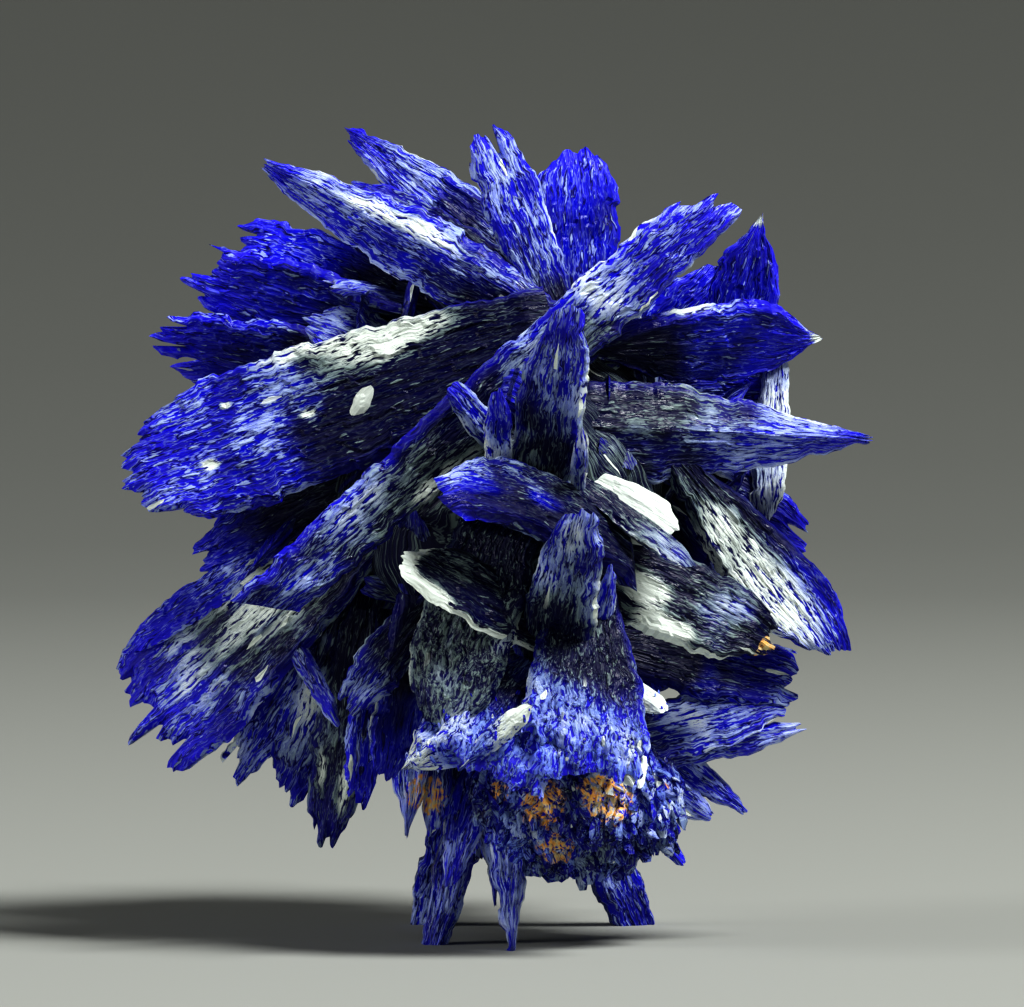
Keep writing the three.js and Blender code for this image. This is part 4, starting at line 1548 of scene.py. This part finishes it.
@dataclass(frozen=True)
class StreakPattern:
    """The growth streaks of azurite: pale wavering dashes along a crystal, with dark rims round them.

    The map is shifted by smooth noise and then stretched, so that a second noise becomes dashes, which are
    where that noise is above a threshold. wander is the scale of the first noise, detail how ragged the
    second is, and soft how far above the threshold a dash is whole. rim_below is how far under the threshold
    a dark rim lies, and rim and thread are how wide the rims and the threads are, all in the noise's own
    height. Chance cells of cell_stretch give small steps of a height of cell_step.
    """

    wander: float = 1.1
    wander_stretch: float = 2.0
    detail: float = 2.3
    soft: float = 0.05
    rim_below: float = 0.035
    rim: Range = (0.01, 0.06)
    thread: float = 0.035
    cell_stretch: Triple = (0.75, 0.6, 1.0)
    cell_step: float = 0.25

    def sockets(self, tree: bpy.types.NodeTree) -> None:
        """Gives the group its inputs and outputs.

        Args:
            tree: The group.
        """
        tree.interface.new_socket(name="Map", in_out="INPUT", socket_type="NodeSocketVector")
        for name in ("Along", "Across", "Waver", "Threshold"):
            tree.interface.new_socket(name=name, in_out="INPUT", socket_type="NodeSocketFloat")
        for name in ("Dash", "Gap", "Crack", "Height", "Chance"):
            tree.interface.new_socket(name=name, in_out="OUTPUT", socket_type="NodeSocketFloat")

    def place(self, sheet: NodeSheet, given: bpy.types.NodeOutputs) -> bpy.types.NodeSocket:
        """The map, shifted and stretched.

        Args:
            sheet: The group's nodes.
            given: The group's inputs.

        Returns:
            The place on it.
        """
        shift = sheet.noise(given["Map"], self.wander).outputs["Color"]
        reach = sheet.add("ShaderNodeCombineXYZ")
        sheet.feed(reach.inputs["X"], sheet.math("MULTIPLY", given["Waver"], self.wander_stretch))
        sheet.feed(reach.inputs["Y"], given["Waver"])
        shift = sheet.vector("MULTIPLY", sheet.vector("SUBTRACT", shift, (0.5, 0.5, 0.5)), reach.outputs[0])
        stretch = sheet.add("ShaderNodeCombineXYZ")
        sheet.feed(stretch.inputs["X"], given["Along"])
        sheet.feed(stretch.inputs["Y"], given["Across"])
        return sheet.vector("MULTIPLY", sheet.vector("ADD", given["Map"], shift), stretch.outputs[0])

    def group(self) -> bpy.types.NodeTree:
        """Makes the node group.

        Returns:
            The group. Its inputs are the map in millimetres, the dashes to a millimetre along and across,
            how far they waver, and the threshold. Its outputs are the dashes, the dark rims, thin threads
            where the noise is at its middle, the height of the surface, and each cell's own number.
        """
        tree = bpy.data.node_groups.new("azurite streaks", "ShaderNodeTree")
        self.sockets(tree)
        sheet = NodeSheet(tree)
        given = sheet.add("NodeGroupInput").outputs
        threshold = given["Threshold"]
        place = self.place(sheet, given)
        hills = sheet.noise(place, 1.0, self.detail).outputs[0]
        above = sheet.math("SUBTRACT", hills, threshold)
        rim = sheet.size(sheet.math("ADD", above, self.rim_below))
        thread = sheet.size(sheet.math("SUBTRACT", hills, 0.5))
        cell = sheet.add("ShaderNodeTexVoronoi", voronoi_dimensions="2D", feature="F1")
        sheet.feed(cell.inputs["Vector"], sheet.vector("MULTIPLY", place, self.cell_stretch))
        cell.inputs["Scale"].default_value = 1.0
        numbers = sheet.add("ShaderNodeSeparateColor")
        sheet.feed(numbers.inputs[0], cell.outputs["Color"])
        step = sheet.math("MULTIPLY", numbers.outputs["Green"], self.cell_step)
        made = sheet.add("NodeGroupOutput").inputs
        sheet.feed(made["Dash"], sheet.rise(hills, threshold, sheet.math("ADD", threshold, self.soft)))
        sheet.feed(made["Gap"], sheet.rise(rim, *self.rim, 1.0, 0.0))
        sheet.feed(made["Crack"], sheet.rise(thread, 0.0, self.thread, 1.0, 0.0))
        sheet.feed(made["Height"], sheet.math("ADD", hills, step))
        sheet.feed(made["Chance"], numbers.outputs["Red"])
        return tree


@dataclass(frozen=True)
class Reading:
    """What a finish reads at each point, as outputs of its nodes.

    place is a point in the object's own coordinates. frost, tip, whim and dull are a crystal's attributes,
    and tip is the strength of its painted violet glow.
    drift is a cloudy noise about zero, and cover the frost with its clouds. coarse and fine are the two
    layers of streaks.
    """

    place: bpy.types.NodeSocket
    frost: bpy.types.NodeSocket
    tip: bpy.types.NodeSocket
    whim: bpy.types.NodeSocket
    dull: bpy.types.NodeSocket
    drift: bpy.types.NodeSocket
    cover: bpy.types.NodeSocket
    coarse: bpy.types.NodeOutputs
    fine: bpy.types.NodeOutputs


@dataclass(frozen=True)
class AzuriteFinish:
    """Azurite: deep blue, a painted violet glow where thin, pale streaks along it, glassy, and rusty in
    places.

    along and across are the streaks to a millimetre, waver how far they waver, and fine how many times
    smaller the second layer of them is. cover is the threshold of the streaks from bare to frosted, and
    fine_above how much higher the second layer's is. Colours: deep to blue is the ground, violet the
    painted glow of its thin edges, ash to lilac the streaks on dark and on light ground, which are partly
    painted reflection, silver the painted reflections on the brightest faces, and ochre to rust the
    limonite. painted_shade_within and painted_shade_beyond are distances from the heart in millimetres over
    which painted shade gives way and the blue grows lighter, depth how light it is at both, clouds the clouds
    to a metre, and cloud_cover, cloud_depth, own_depth and dulling how far the clouds, a crystal's own number
    and its dullness change that. rim, small and thread are the strengths of the dark rims, the small dashes
    and the threads. shine and solid are the covers over which streaks take the painted reflection colour and
    close up to a solid face. closing is the cover at which that is whole and how far the threshold falls for
    it, and cracked how strong the cracks are at both ends of solid. speckle is the specks of rust to a metre,
    and rusting how much stain they need. gloss is the range of roughness, sheen the strength of
    reflections, relief_mm the height of the relief, and flat_relief the share of it on a solid face. flecks
    is the share of small cells that are painted glints in the reflection colour, and painted_glint_edge how
    soft that is. Low in the relief, the painted violet glow and the dashes are fainter, down to
    least_painted_glow and least_dash, over painted_glow_height and dash_height. thread_cover is the cover
    over which the threads grow stronger, rust_height the height over which rust shows, and rust_tint the
    specks over which it goes from ochre to rust.
    """

    name: str
    along: float = 0.9
    across: float = 4.3
    fine: float = 2.1
    waver: float = 0.14
    cover: Range = (0.69, 0.455)
    fine_above: float = 0.02
    deep: Colour = (0.0002, 0.0003, 0.034, 1)
    blue: Colour = (0.001, 0.002, 0.55, 1)
    # violet is a painted glow of light through thin crystal.
    violet: Colour = (0.040, 0.022, 1.0, 1)
    lilac: Colour = (0.44, 0.55, 0.94, 1)
    ash: Colour = (0.21, 0.28, 0.27, 1)
    # silver is the colour of painted reflections and glints.
    painted_reflection: Colour = (0.74, 0.81, 0.74, 1)
    rust: Colour = (0.90, 0.44, 0.10, 1)
    ochre: Colour = (0.72, 0.58, 0.30, 1)
    # painted_shade_within to painted_shade_beyond is the painted shade towards the heart.
    painted_shade_within: float = 6.0
    painted_shade_beyond: float = 13.0
    depth: Range = (0.12, 0.9)
    clouds: float = 420.0
    cloud_cover: float = 2.2
    cloud_depth: float = 2.0
    own_depth: float = 0.3
    dulling: float = 0.55
    rim: float = 0.85
    small: float = 0.8
    thread: Range = (0.12, 0.56)
    painted_shine: Range = (0.62, 1.25)
    solid: Range = (1.1, 1.9)
    closing: Range = (2.2, 0.3)
    cracked: Range = (0.75, 0.15)
    speckle: float = 3600.0
    rusting: Range = (0.3, 0.42)
    gloss: Range = (0.26, 0.65)
    ior: float = 1.5
    sheen: float = 0.28
    relief_mm: float = 0.12
    flat_relief: float = 0.4
    painted_glints: float = 0.016
    painted_glint_edge: float = 0.002
    painted_glow_height: Range = (0.35, 0.8)
    least_painted_glow: float = 0.5
    dash_height: Range = (0.35, 0.85)
    least_dash: float = 0.5
    thread_cover: Range = (-0.3, 0.7)
    rust_height: Range = (0.5, 0.7)
    rust_tint: Range = (0.4, 0.6)

    def streaks(
        self, sheet: NodeSheet, group: bpy.types.NodeTree, finer: float, threshold: bpy.types.NodeSocket
    ) -> bpy.types.NodeOutputs:
        """Places the streak group once, reading the crystal's own map.

        Args:
            sheet: The material's nodes.
            group: The streak group.
            finer: How many times smaller its dashes are.
            threshold: Where the dashes start.

        Returns:
            What the group puts out.
        """
        along_across = sheet.add("ShaderNodeUVMap", uv_map=GRAIN_MAP)
        node = sheet.add("ShaderNodeGroup", node_tree=group)
        sheet.feed(node.inputs["Map"], along_across.outputs[0])
        sheet.feed(node.inputs["Along"], self.along * finer)
        sheet.feed(node.inputs["Across"], self.across * finer)
        sheet.feed(node.inputs["Waver"], self.waver)
        sheet.feed(node.inputs["Threshold"], threshold)
        return node.outputs

    def read(self, sheet: NodeSheet, group: bpy.types.NodeTree) -> Reading:
        """Adds what reads the crystal's place and attributes, and the two layers of streaks.

        Args:
            sheet: The material's nodes.
            group: The streak group.

        Returns:
            What is read.
        """
        growth = sheet.add("ShaderNodeAttribute", attribute_name=GROWTH)
        parts = sheet.add("ShaderNodeSeparateColor")
        sheet.feed(parts.inputs[0], growth.outputs["Color"])
        frost, tip, whim = (parts.outputs[k] for k in range(3))
        place = sheet.add("ShaderNodeTexCoord").outputs["Object"]
        drift = sheet.math("SUBTRACT", sheet.noise(place, self.clouds, 2.0, "3D").outputs[0], 0.5)
        cover = sheet.math("ADD", frost, sheet.math("MULTIPLY", drift, self.cloud_cover))
        threshold = sheet.rise(cover, 0.0, 1.0, *self.cover)
        closed, fall = self.closing
        fall = sheet.rise(cover, self.solid[0], closed, 0.0, fall)
        threshold = sheet.math("SUBTRACT", threshold, fall)
        coarse = self.streaks(sheet, group, 1.0, threshold)
        fine = self.streaks(sheet, group, self.fine, sheet.math("ADD", threshold, self.fine_above))
        return Reading(place, frost, tip, whim, growth.outputs["Alpha"], drift, cover, coarse, fine)

    def shaded_lightness(self, sheet: NodeSheet, read: Reading) -> bpy.types.NodeSocket:
        """How light the ground is: with painted shade towards the heart, and less on dull and dark crystals.

        Args:
            sheet: The material's nodes.
            read: What it reads.

        Returns:
            A number from 0 to 1.
        """
        away = sheet.vector("DISTANCE", read.place, tuple(value * MM for value in HEART))
        # Painted shade: the blue darkens towards the heart, deep among the blades.
        light = sheet.rise(away, self.painted_shade_within * MM, self.painted_shade_beyond * MM, *self.depth)
        own = sheet.math("MULTIPLY", sheet.math("SUBTRACT", read.whim, 0.5), self.own_depth)
        light = sheet.math("ADD", light, own)
        light = sheet.math("ADD", light, sheet.math("MULTIPLY", read.drift, self.cloud_depth))
        light = sheet.math("SUBTRACT", light, sheet.math("MULTIPLY", read.dull, self.dulling))
        # Painted shade: frost below 0, from dark glares and from a blade's base, darkens the ground further.
        light = sheet.math("ADD", light, sheet.math("MINIMUM", read.frost, 0.0))
        return sheet.rise(light, 0.0, 1.0)

    def dashes(self, sheet: NodeSheet, read: Reading) -> bpy.types.NodeSocket:
        """Where both layers of dashes lie, with the cracks through them.

        Args:
            sheet: The material's nodes.
            read: What it reads.

        Returns:
            A number from 0 to 1.
        """
        small = sheet.math("MULTIPLY", read.fine["Dash"], self.small)
        both = sheet.math("MAXIMUM", read.coarse["Dash"], small)
        crack = sheet.math("MULTIPLY", read.fine["Crack"], sheet.rise(read.cover, *self.solid, *self.cracked))
        return sheet.math("MULTIPLY", both, sheet.math("SUBTRACT", 1.0, crack))

    def colour(self, sheet: NodeSheet, read: Reading) -> bpy.types.NodeSocket:
        """The colour without its rust: ground, painted violet glow, dark gaps, pale dashes, painted
        reflections.

        Args:
            sheet: The material's nodes.
            read: What it reads.

        Returns:
            The colour.
        """
        shaded_lightness = self.shaded_lightness(sheet, read)
        colour = sheet.mix(shaded_lightness, self.deep, self.blue)
        # Painted glow: violet where the crystal is thin, at its rims and its end, fainter low in the relief.
        thin = sheet.rise(read.coarse["Height"], *self.painted_glow_height, self.least_painted_glow)
        thin = sheet.math("MULTIPLY", read.tip, thin)
        colour = sheet.mix(thin, colour, self.violet)
        colour = sheet.mix(sheet.math("MULTIPLY", read.coarse["Gap"], self.rim), colour, self.deep)
        dashes = self.dashes(sheet, read)
        faintest = sheet.rise(read.cover, *self.solid, self.least_dash)
        uneven = sheet.rise(read.fine["Height"], *self.dash_height, faintest)
        thread = sheet.rise(read.cover, *self.thread_cover, *self.thread)
        thread = sheet.math("MULTIPLY", read.coarse["Crack"], thread)
        # The pale dashes are partly the crystal's own growth streaks and partly painted reflection off its
        # flake rims.
        share = sheet.math("MAXIMUM", sheet.math("MULTIPLY", dashes, uneven), thread)
        colour = sheet.mix(share, colour, sheet.mix(shaded_lightness, self.ash, self.lilac))
        # Painted reflection: the streaks of the palest faces take the silver colour, and so do chance small
        # cells, as painted glints.
        painted_shine = sheet.math("MULTIPLY", dashes, sheet.rise(read.cover, *self.painted_shine))
        least = sheet.math("SUBTRACT", 1.0, sheet.math("MULTIPLY", read.frost, self.painted_glints))
        fleck = sheet.rise(read.fine["Chance"], least, sheet.math("ADD", least, self.painted_glint_edge))
        return sheet.mix(sheet.math("MAXIMUM", painted_shine, fleck), colour, self.painted_reflection)

    def rusted(self, sheet: NodeSheet, read: Reading, colour: bpy.types.NodeSocket) -> bpy.types.NodeSocket:
        """The colour with limonite in specks where the stain is.

        Args:
            sheet: The material's nodes.
            read: What it reads.
            colour: The colour without it.

        Returns:
            The colour.
        """
        stain = sheet.add("ShaderNodeAttribute", attribute_name=STAIN).outputs["Fac"]
        specks = sheet.noise(read.place, self.speckle, 3.0, "3D").outputs[0]
        rusty = sheet.rise(sheet.math("MULTIPLY", stain, specks), *self.rusting)
        rusty = sheet.math("MULTIPLY", rusty, sheet.rise(read.fine["Height"], *self.rust_height))
        return sheet.mix(rusty, colour, sheet.mix(sheet.rise(specks, *self.rust_tint), self.ochre, self.rust))

    def height(self, sheet: NodeSheet, read: Reading) -> bpy.types.NodeSocket:
        """The height of the relief, which is flatter on solid pale faces.

        Args:
            sheet: The material's nodes.
            read: What it reads.

        Returns:
            The height.
        """
        small = sheet.math("MULTIPLY", read.fine["Height"], 1 / self.fine)
        height = sheet.math("ADD", read.coarse["Height"], small)
        return sheet.math("MULTIPLY", height, sheet.rise(read.cover, *self.solid, 1.0, self.flat_relief))

    def material(self, group: bpy.types.NodeTree) -> bpy.types.Material:
        """Makes the material.

        Args:
            group: The streak group.

        Returns:
            The material.
        """
        material = bpy.data.materials.new(self.name)
        material.use_nodes = True
        material.node_tree.nodes.clear()
        sheet = NodeSheet(material.node_tree)
        read = self.read(sheet, group)
        shader = sheet.add("ShaderNodeBsdfPrincipled")
        sheet.feed(shader.inputs["Base Color"], self.rusted(sheet, read, self.colour(sheet, read)))
        sheet.feed(shader.inputs["Roughness"], sheet.rise(read.fine["Chance"], 0.0, 1.0, *self.gloss))
        sheet.feed(shader.inputs["IOR"], self.ior)
        sheet.feed(shader.inputs["Specular IOR Level"], self.sheen)
        bump = sheet.add("ShaderNodeBump")
        sheet.feed(bump.inputs["Distance"], self.relief_mm * MM)
        sheet.feed(bump.inputs["Height"], self.height(sheet, read))
        sheet.feed(shader.inputs["Normal"], bump.outputs[0])
        output = sheet.add("ShaderNodeOutputMaterial")
        sheet.feed(output.inputs["Surface"], shader.outputs[0])
        return material


BLADE_FINISH = AzuriteFinish("azurite blades")
HEART_FINISH = AzuriteFinish("azurite heart", cover=(0.66, 0.52), gloss=(0.4, 0.7))
DRUSE_FINISH = AzuriteFinish(
    "azurite druse",
    along=2.0,
    across=3.8,
    waver=0.35,
    cover=(0.64, 0.48),
    blue=(0.003, 0.003, 0.42, 1),
    lilac=(0.24, 0.36, 0.9, 1),
    painted_shade_within=5.0,
    painted_shade_beyond=10.0,
    relief_mm=0.16,
)


# ---- The rosette --------------------------------------------------------------------------------------

COARSE_GRAINS = Grains(
    2600,
    (0.4, 1.5),
    slim=(0.3, 0.6),
    flat=(0.15, 0.3),
    lean=0.45,
    hang=0.55,
    frost=(0.1, 0.85),
    dull=0.7,
    glow=(0.0, 0.3),
)
FINE_GRAINS = Grains(
    300,
    (0.2, 0.6),
    slim=(0.25, 0.5),
    flat=(0.1, 0.2),
    lean=0.3,
    sink=0.62,
    hang=0.85,
    frost=(0.1, 0.9),
    dull=0.0,
)


@dataclass
class Cluster:
    """One group of blades that is one piece, and the maker that works out their surfaces.

    first_seed is its first blade's seed, and coarse how many times larger than usual its mesh's cells are.
    hidden_seed is added to a blade's seed for its hidden root, whose cells are hidden_coarse times larger.
    """

    name: str
    blades: Iterable[Blade]
    first_seed: int
    coarse: float = 1.0
    hidden_seed: int = 500
    hidden_coarse: float = 1.8
    maker: BladeMaker = field(default_factory=BladeMaker)

    def surface(self) -> Surface:
        """The blades and their hidden roots as one surface.

        Returns:
            The surface.
        """
        made = []
        for n, blade in enumerate(self.blades):
            seed = self.first_seed + n
            made.append(self.maker.surface(blade, seed, self.coarse))
            if self.maker.is_rooted(blade):
                hidden = self.maker.hidden_root(blade)
                coarse = self.hidden_coarse * self.coarse
                made.append(self.maker.surface(hidden, seed + self.hidden_seed, coarse))
        return Surface.joined(made)

    def piece(self, finish: bpy.types.Material) -> Surface:
        """Makes the group a piece of the rosette.

        Args:
            finish: Its finish.

        Returns:
            Its surface.
        """
        surface = self.surface()
        surface.to_object(self.name, finish)
        return surface


@dataclass
class Rosette:
    """The whole rosette: the blades of each side, the close-grown middle, and the grains on it.

    rest_coarse and filling_coarse are how much coarser the meshes of the back and the sides are, and those
    of the small blades close to the heart. Grains grow on the mass under it below under_top, and on the
    skirt below skirt_top and before skirt_back, which are heights and a depth in millimetres from the heart.
    They stand away from under_middle and skirt_middle.
    """

    group: bpy.types.NodeTree
    rest_coarse: float = 1.3
    filling_coarse: float = 1.5
    under_top: float = -9.5
    skirt_top: float = -7.6
    skirt_back: float = -8.6
    under_middle: Triple = (1.9, -1.2, -9.5)
    skirt_middle: Triple = (1.5, -5.0, -7.0)

    def front(self, blade_finish: bpy.types.Material) -> None:
        """Makes the blades that show from the front.

        Args:
            blade_finish: The finish of the blades.
        """
        groups = {
            "crown_blades": (CROWN, 100),
            "left_blades": (LEFT, 200),
            "middle_blades": (MIDDLE, 300),
            "right_blades": (RIGHT, 400),
            "lower_points": (LOWER_POINTS, 550),
        }
        for name, (blades, seed) in groups.items():
            Cluster(name, blades, seed).piece(blade_finish)

    def rest(self, blade_finish: bpy.types.Material, heart_finish: bpy.types.Material) -> Surface:
        """Makes the back, the sides, the small blades close to the heart, and the lumps that they start in.

        Args:
            blade_finish: The finish of the blades.
            heart_finish: The duller finish close to the heart.

        Returns:
            The lumps under the rosette, which the grains grow on.
        """
        band = SideBand()
        groups = {
            "back_blades": (BackPetals().blades(), 600),
            "side_blades": (band.broad_blades() + band.filling_blades(), 700),
            "underside_fringe": (Fringe().blades(), 900),
        }
        for name, (blades, seed) in groups.items():
            Cluster(name, blades, seed, self.rest_coarse).piece(blade_finish)
        lumps = [lump.surface(60 + n) for n, lump in enumerate(MIDDLE_LUMPS)]
        filling = Cluster("heart_blades", HeartFilling().blades(), 1100, self.filling_coarse)
        Surface.joined([filling.surface(), *lumps]).to_object(filling.name, heart_finish)
        return Surface.joined(lumps[1:])

    def druse(self, underside: Surface, finish: bpy.types.Material) -> None:
        """Makes the skirt of close-grown crystals, and the grains on it and on the mass under the rosette.

        Args:
            underside: The surface of the lumps under the rosette.
            finish: The finish of what is grainy.
        """
        skirt = Cluster("skirt_blades", SKIRT, 500).piece(finish)
        low = underside.points[:, 2] < self.under_top
        band = (skirt.points[:, 2] < self.skirt_top) & (skirt.points[:, 1] < self.skirt_back)
        under = COARSE_GRAINS.grown_on(underside, low, self.under_middle, 71)
        on_skirt = FINE_GRAINS.grown_on(skirt, band, self.skirt_middle, 72)
        Surface.joined([under, on_skirt]).to_object("small_grains", finish)

    def build(self) -> None:
        """Makes the finishes, and every piece in order."""
        blade_finish = BLADE_FINISH.material(self.group)
        heart_finish = HEART_FINISH.material(self.group)
        self.front(blade_finish)
        underside = self.rest(blade_finish, heart_finish)
        self.druse(underside, DRUSE_FINISH.material(self.group))


# ---- Studio -------------------------------------------------------------------------------------------


@dataclass(frozen=True)
class Softbox:
    """A soft light: where it hangs, in metres from the rosette's heart, its size and its power in watts."""

    name: str
    place: Triple
    size: tuple[float, float]
    watts: float


@dataclass
class Studio:
    """The camera, the pale floor that curves up all round, and the soft lights.

    Lengths are in metres, but for the lens and the sensor, which are in millimetres. clip is the nearest and
    the farthest that the camera sees, and aim how far it looks beside the heart. rings and spokes are the
    points of the floor's curve and round it, and glow is the strength of the even light all round.
    """

    distance: float = 0.32
    elevation: float = math.radians(2)
    aim: Triple = (0.00068, 0.0, -0.00054)
    lens: float = 281.2
    sensor: float = 36.0
    clip: Range = (0.01, 20.0)
    flat_radius: float = 0.3
    sweep: float = 1.0
    rings: int = 28
    spokes: int = 96
    floor_grey: Colour = (0.30, 0.31, 0.285, 1)
    floor_roughness: float = 0.9
    lights: tuple[Softbox, ...] = (
        Softbox("key light", (0.26, -0.18, 0.44), (0.18, 0.18), 3.9),
        Softbox("left light", (-0.46, -0.12, 0.20), (0.16, 0.24), 0.9),
        Softbox("front fill", (0.0, -0.60, 0.05), (0.30, 0.30), 0.25),
    )
    glow: float = 0.03

    def camera(self) -> None:
        """Sets the camera, which looks along +Y from a little above the rosette's height."""
        heart = Vector(HEART) * MM
        target = heart + Vector(self.aim)
        back = Vector((0, -math.cos(self.elevation), math.sin(self.elevation)))
        data = bpy.data.cameras.new("camera")
        data.lens = self.lens
        data.sensor_width = self.sensor
        data.clip_start, data.clip_end = self.clip
        camera = bpy.data.objects.new("camera", data)
        camera.location = target + back * self.distance
        camera.rotation_mode = "QUATERNION"
        camera.rotation_quaternion = (-back).to_track_quat("-Z", "Y")
        bpy.context.scene.collection.objects.link(camera)
        bpy.context.scene.camera = camera

    def floor(self) -> None:
        """Lays the floor: a flat disc whose rim turns up through a quarter circle, all round.

        Radius = flat radius + sweep x sin t and height = sweep x (1 - cos t), with t from 0 to a right
        angle.
        """
        t = np.linspace(0, np.pi / 2, self.rings)[:, None]
        spoke = np.arange(self.spokes)[None, :] * 2 * np.pi / self.spokes
        radius = self.flat_radius + self.sweep * np.sin(t)
        x, y = radius * np.cos(spoke), radius * np.sin(spoke)
        points = np.stack(np.broadcast_arrays(x, y, self.sweep * (1 - np.cos(t))), axis=-1)
        number = np.arange(self.rings * self.spokes).reshape(self.rings, self.spokes)
        following = np.roll(number, -1, axis=1)
        quads = np.stack([number[:-1], number[1:], following[1:], following[:-1]], axis=-1).reshape(-1, 4)
        mesh = bpy.data.meshes.new("floor")
        mesh.from_pydata(points.reshape(-1, 3).tolist(), [], [number[0].tolist(), *quads.tolist()])
        mesh.polygons.foreach_set("use_smooth", np.ones(len(quads) + 1, bool))
        material = bpy.data.materials.new("floor paper")
        material.use_nodes = True
        shader = material.node_tree.nodes["Principled BSDF"]
        shader.inputs["Base Color"].default_value = self.floor_grey
        shader.inputs["Roughness"].default_value = self.floor_roughness
        mesh.materials.append(material)
        floor = bpy.data.objects.new("floor", mesh)
        bpy.context.scene.collection.objects.link(floor)

    def hang(self, box: Softbox) -> None:
        """Hangs a soft light that faces the heart.

        Args:
            box: The light.
        """
        data = bpy.data.lights.new(box.name, "AREA")
        data.shape = "RECTANGLE"
        data.size, data.size_y = box.size
        data.energy = box.watts
        light = bpy.data.objects.new(box.name, data)
        place = Vector(box.place)
        light.location = Vector(HEART) * MM + place
        light.rotation_mode = "QUATERNION"
        light.rotation_quaternion = (-place).to_track_quat("-Z", "Y")
        bpy.context.scene.collection.objects.link(light)

    def build(self) -> None:
        """Sets up the camera, the floor, the lights and an even dim glow all round."""
        scene = bpy.context.scene
        self.camera()
        self.floor()
        for box in self.lights:
            self.hang(box)
        world = bpy.data.worlds.new("dim room")
        world.use_nodes = True
        sky = world.node_tree.nodes["Background"]
        sky.inputs["Color"].default_value = (1, 1, 1, 1)
        sky.inputs["Strength"].default_value = self.glow
        scene.world = world
        scene.view_settings.view_transform = "Standard"
        scene.view_settings.look = "High Contrast"


def main() -> None:
    """Builds the studio and the rosette."""
    logging.basicConfig(level=logging.INFO, format="%(message)s")
    Studio().build()
    Rosette(StreakPattern().group()).build()


if __name__ == "__main__":
    main()
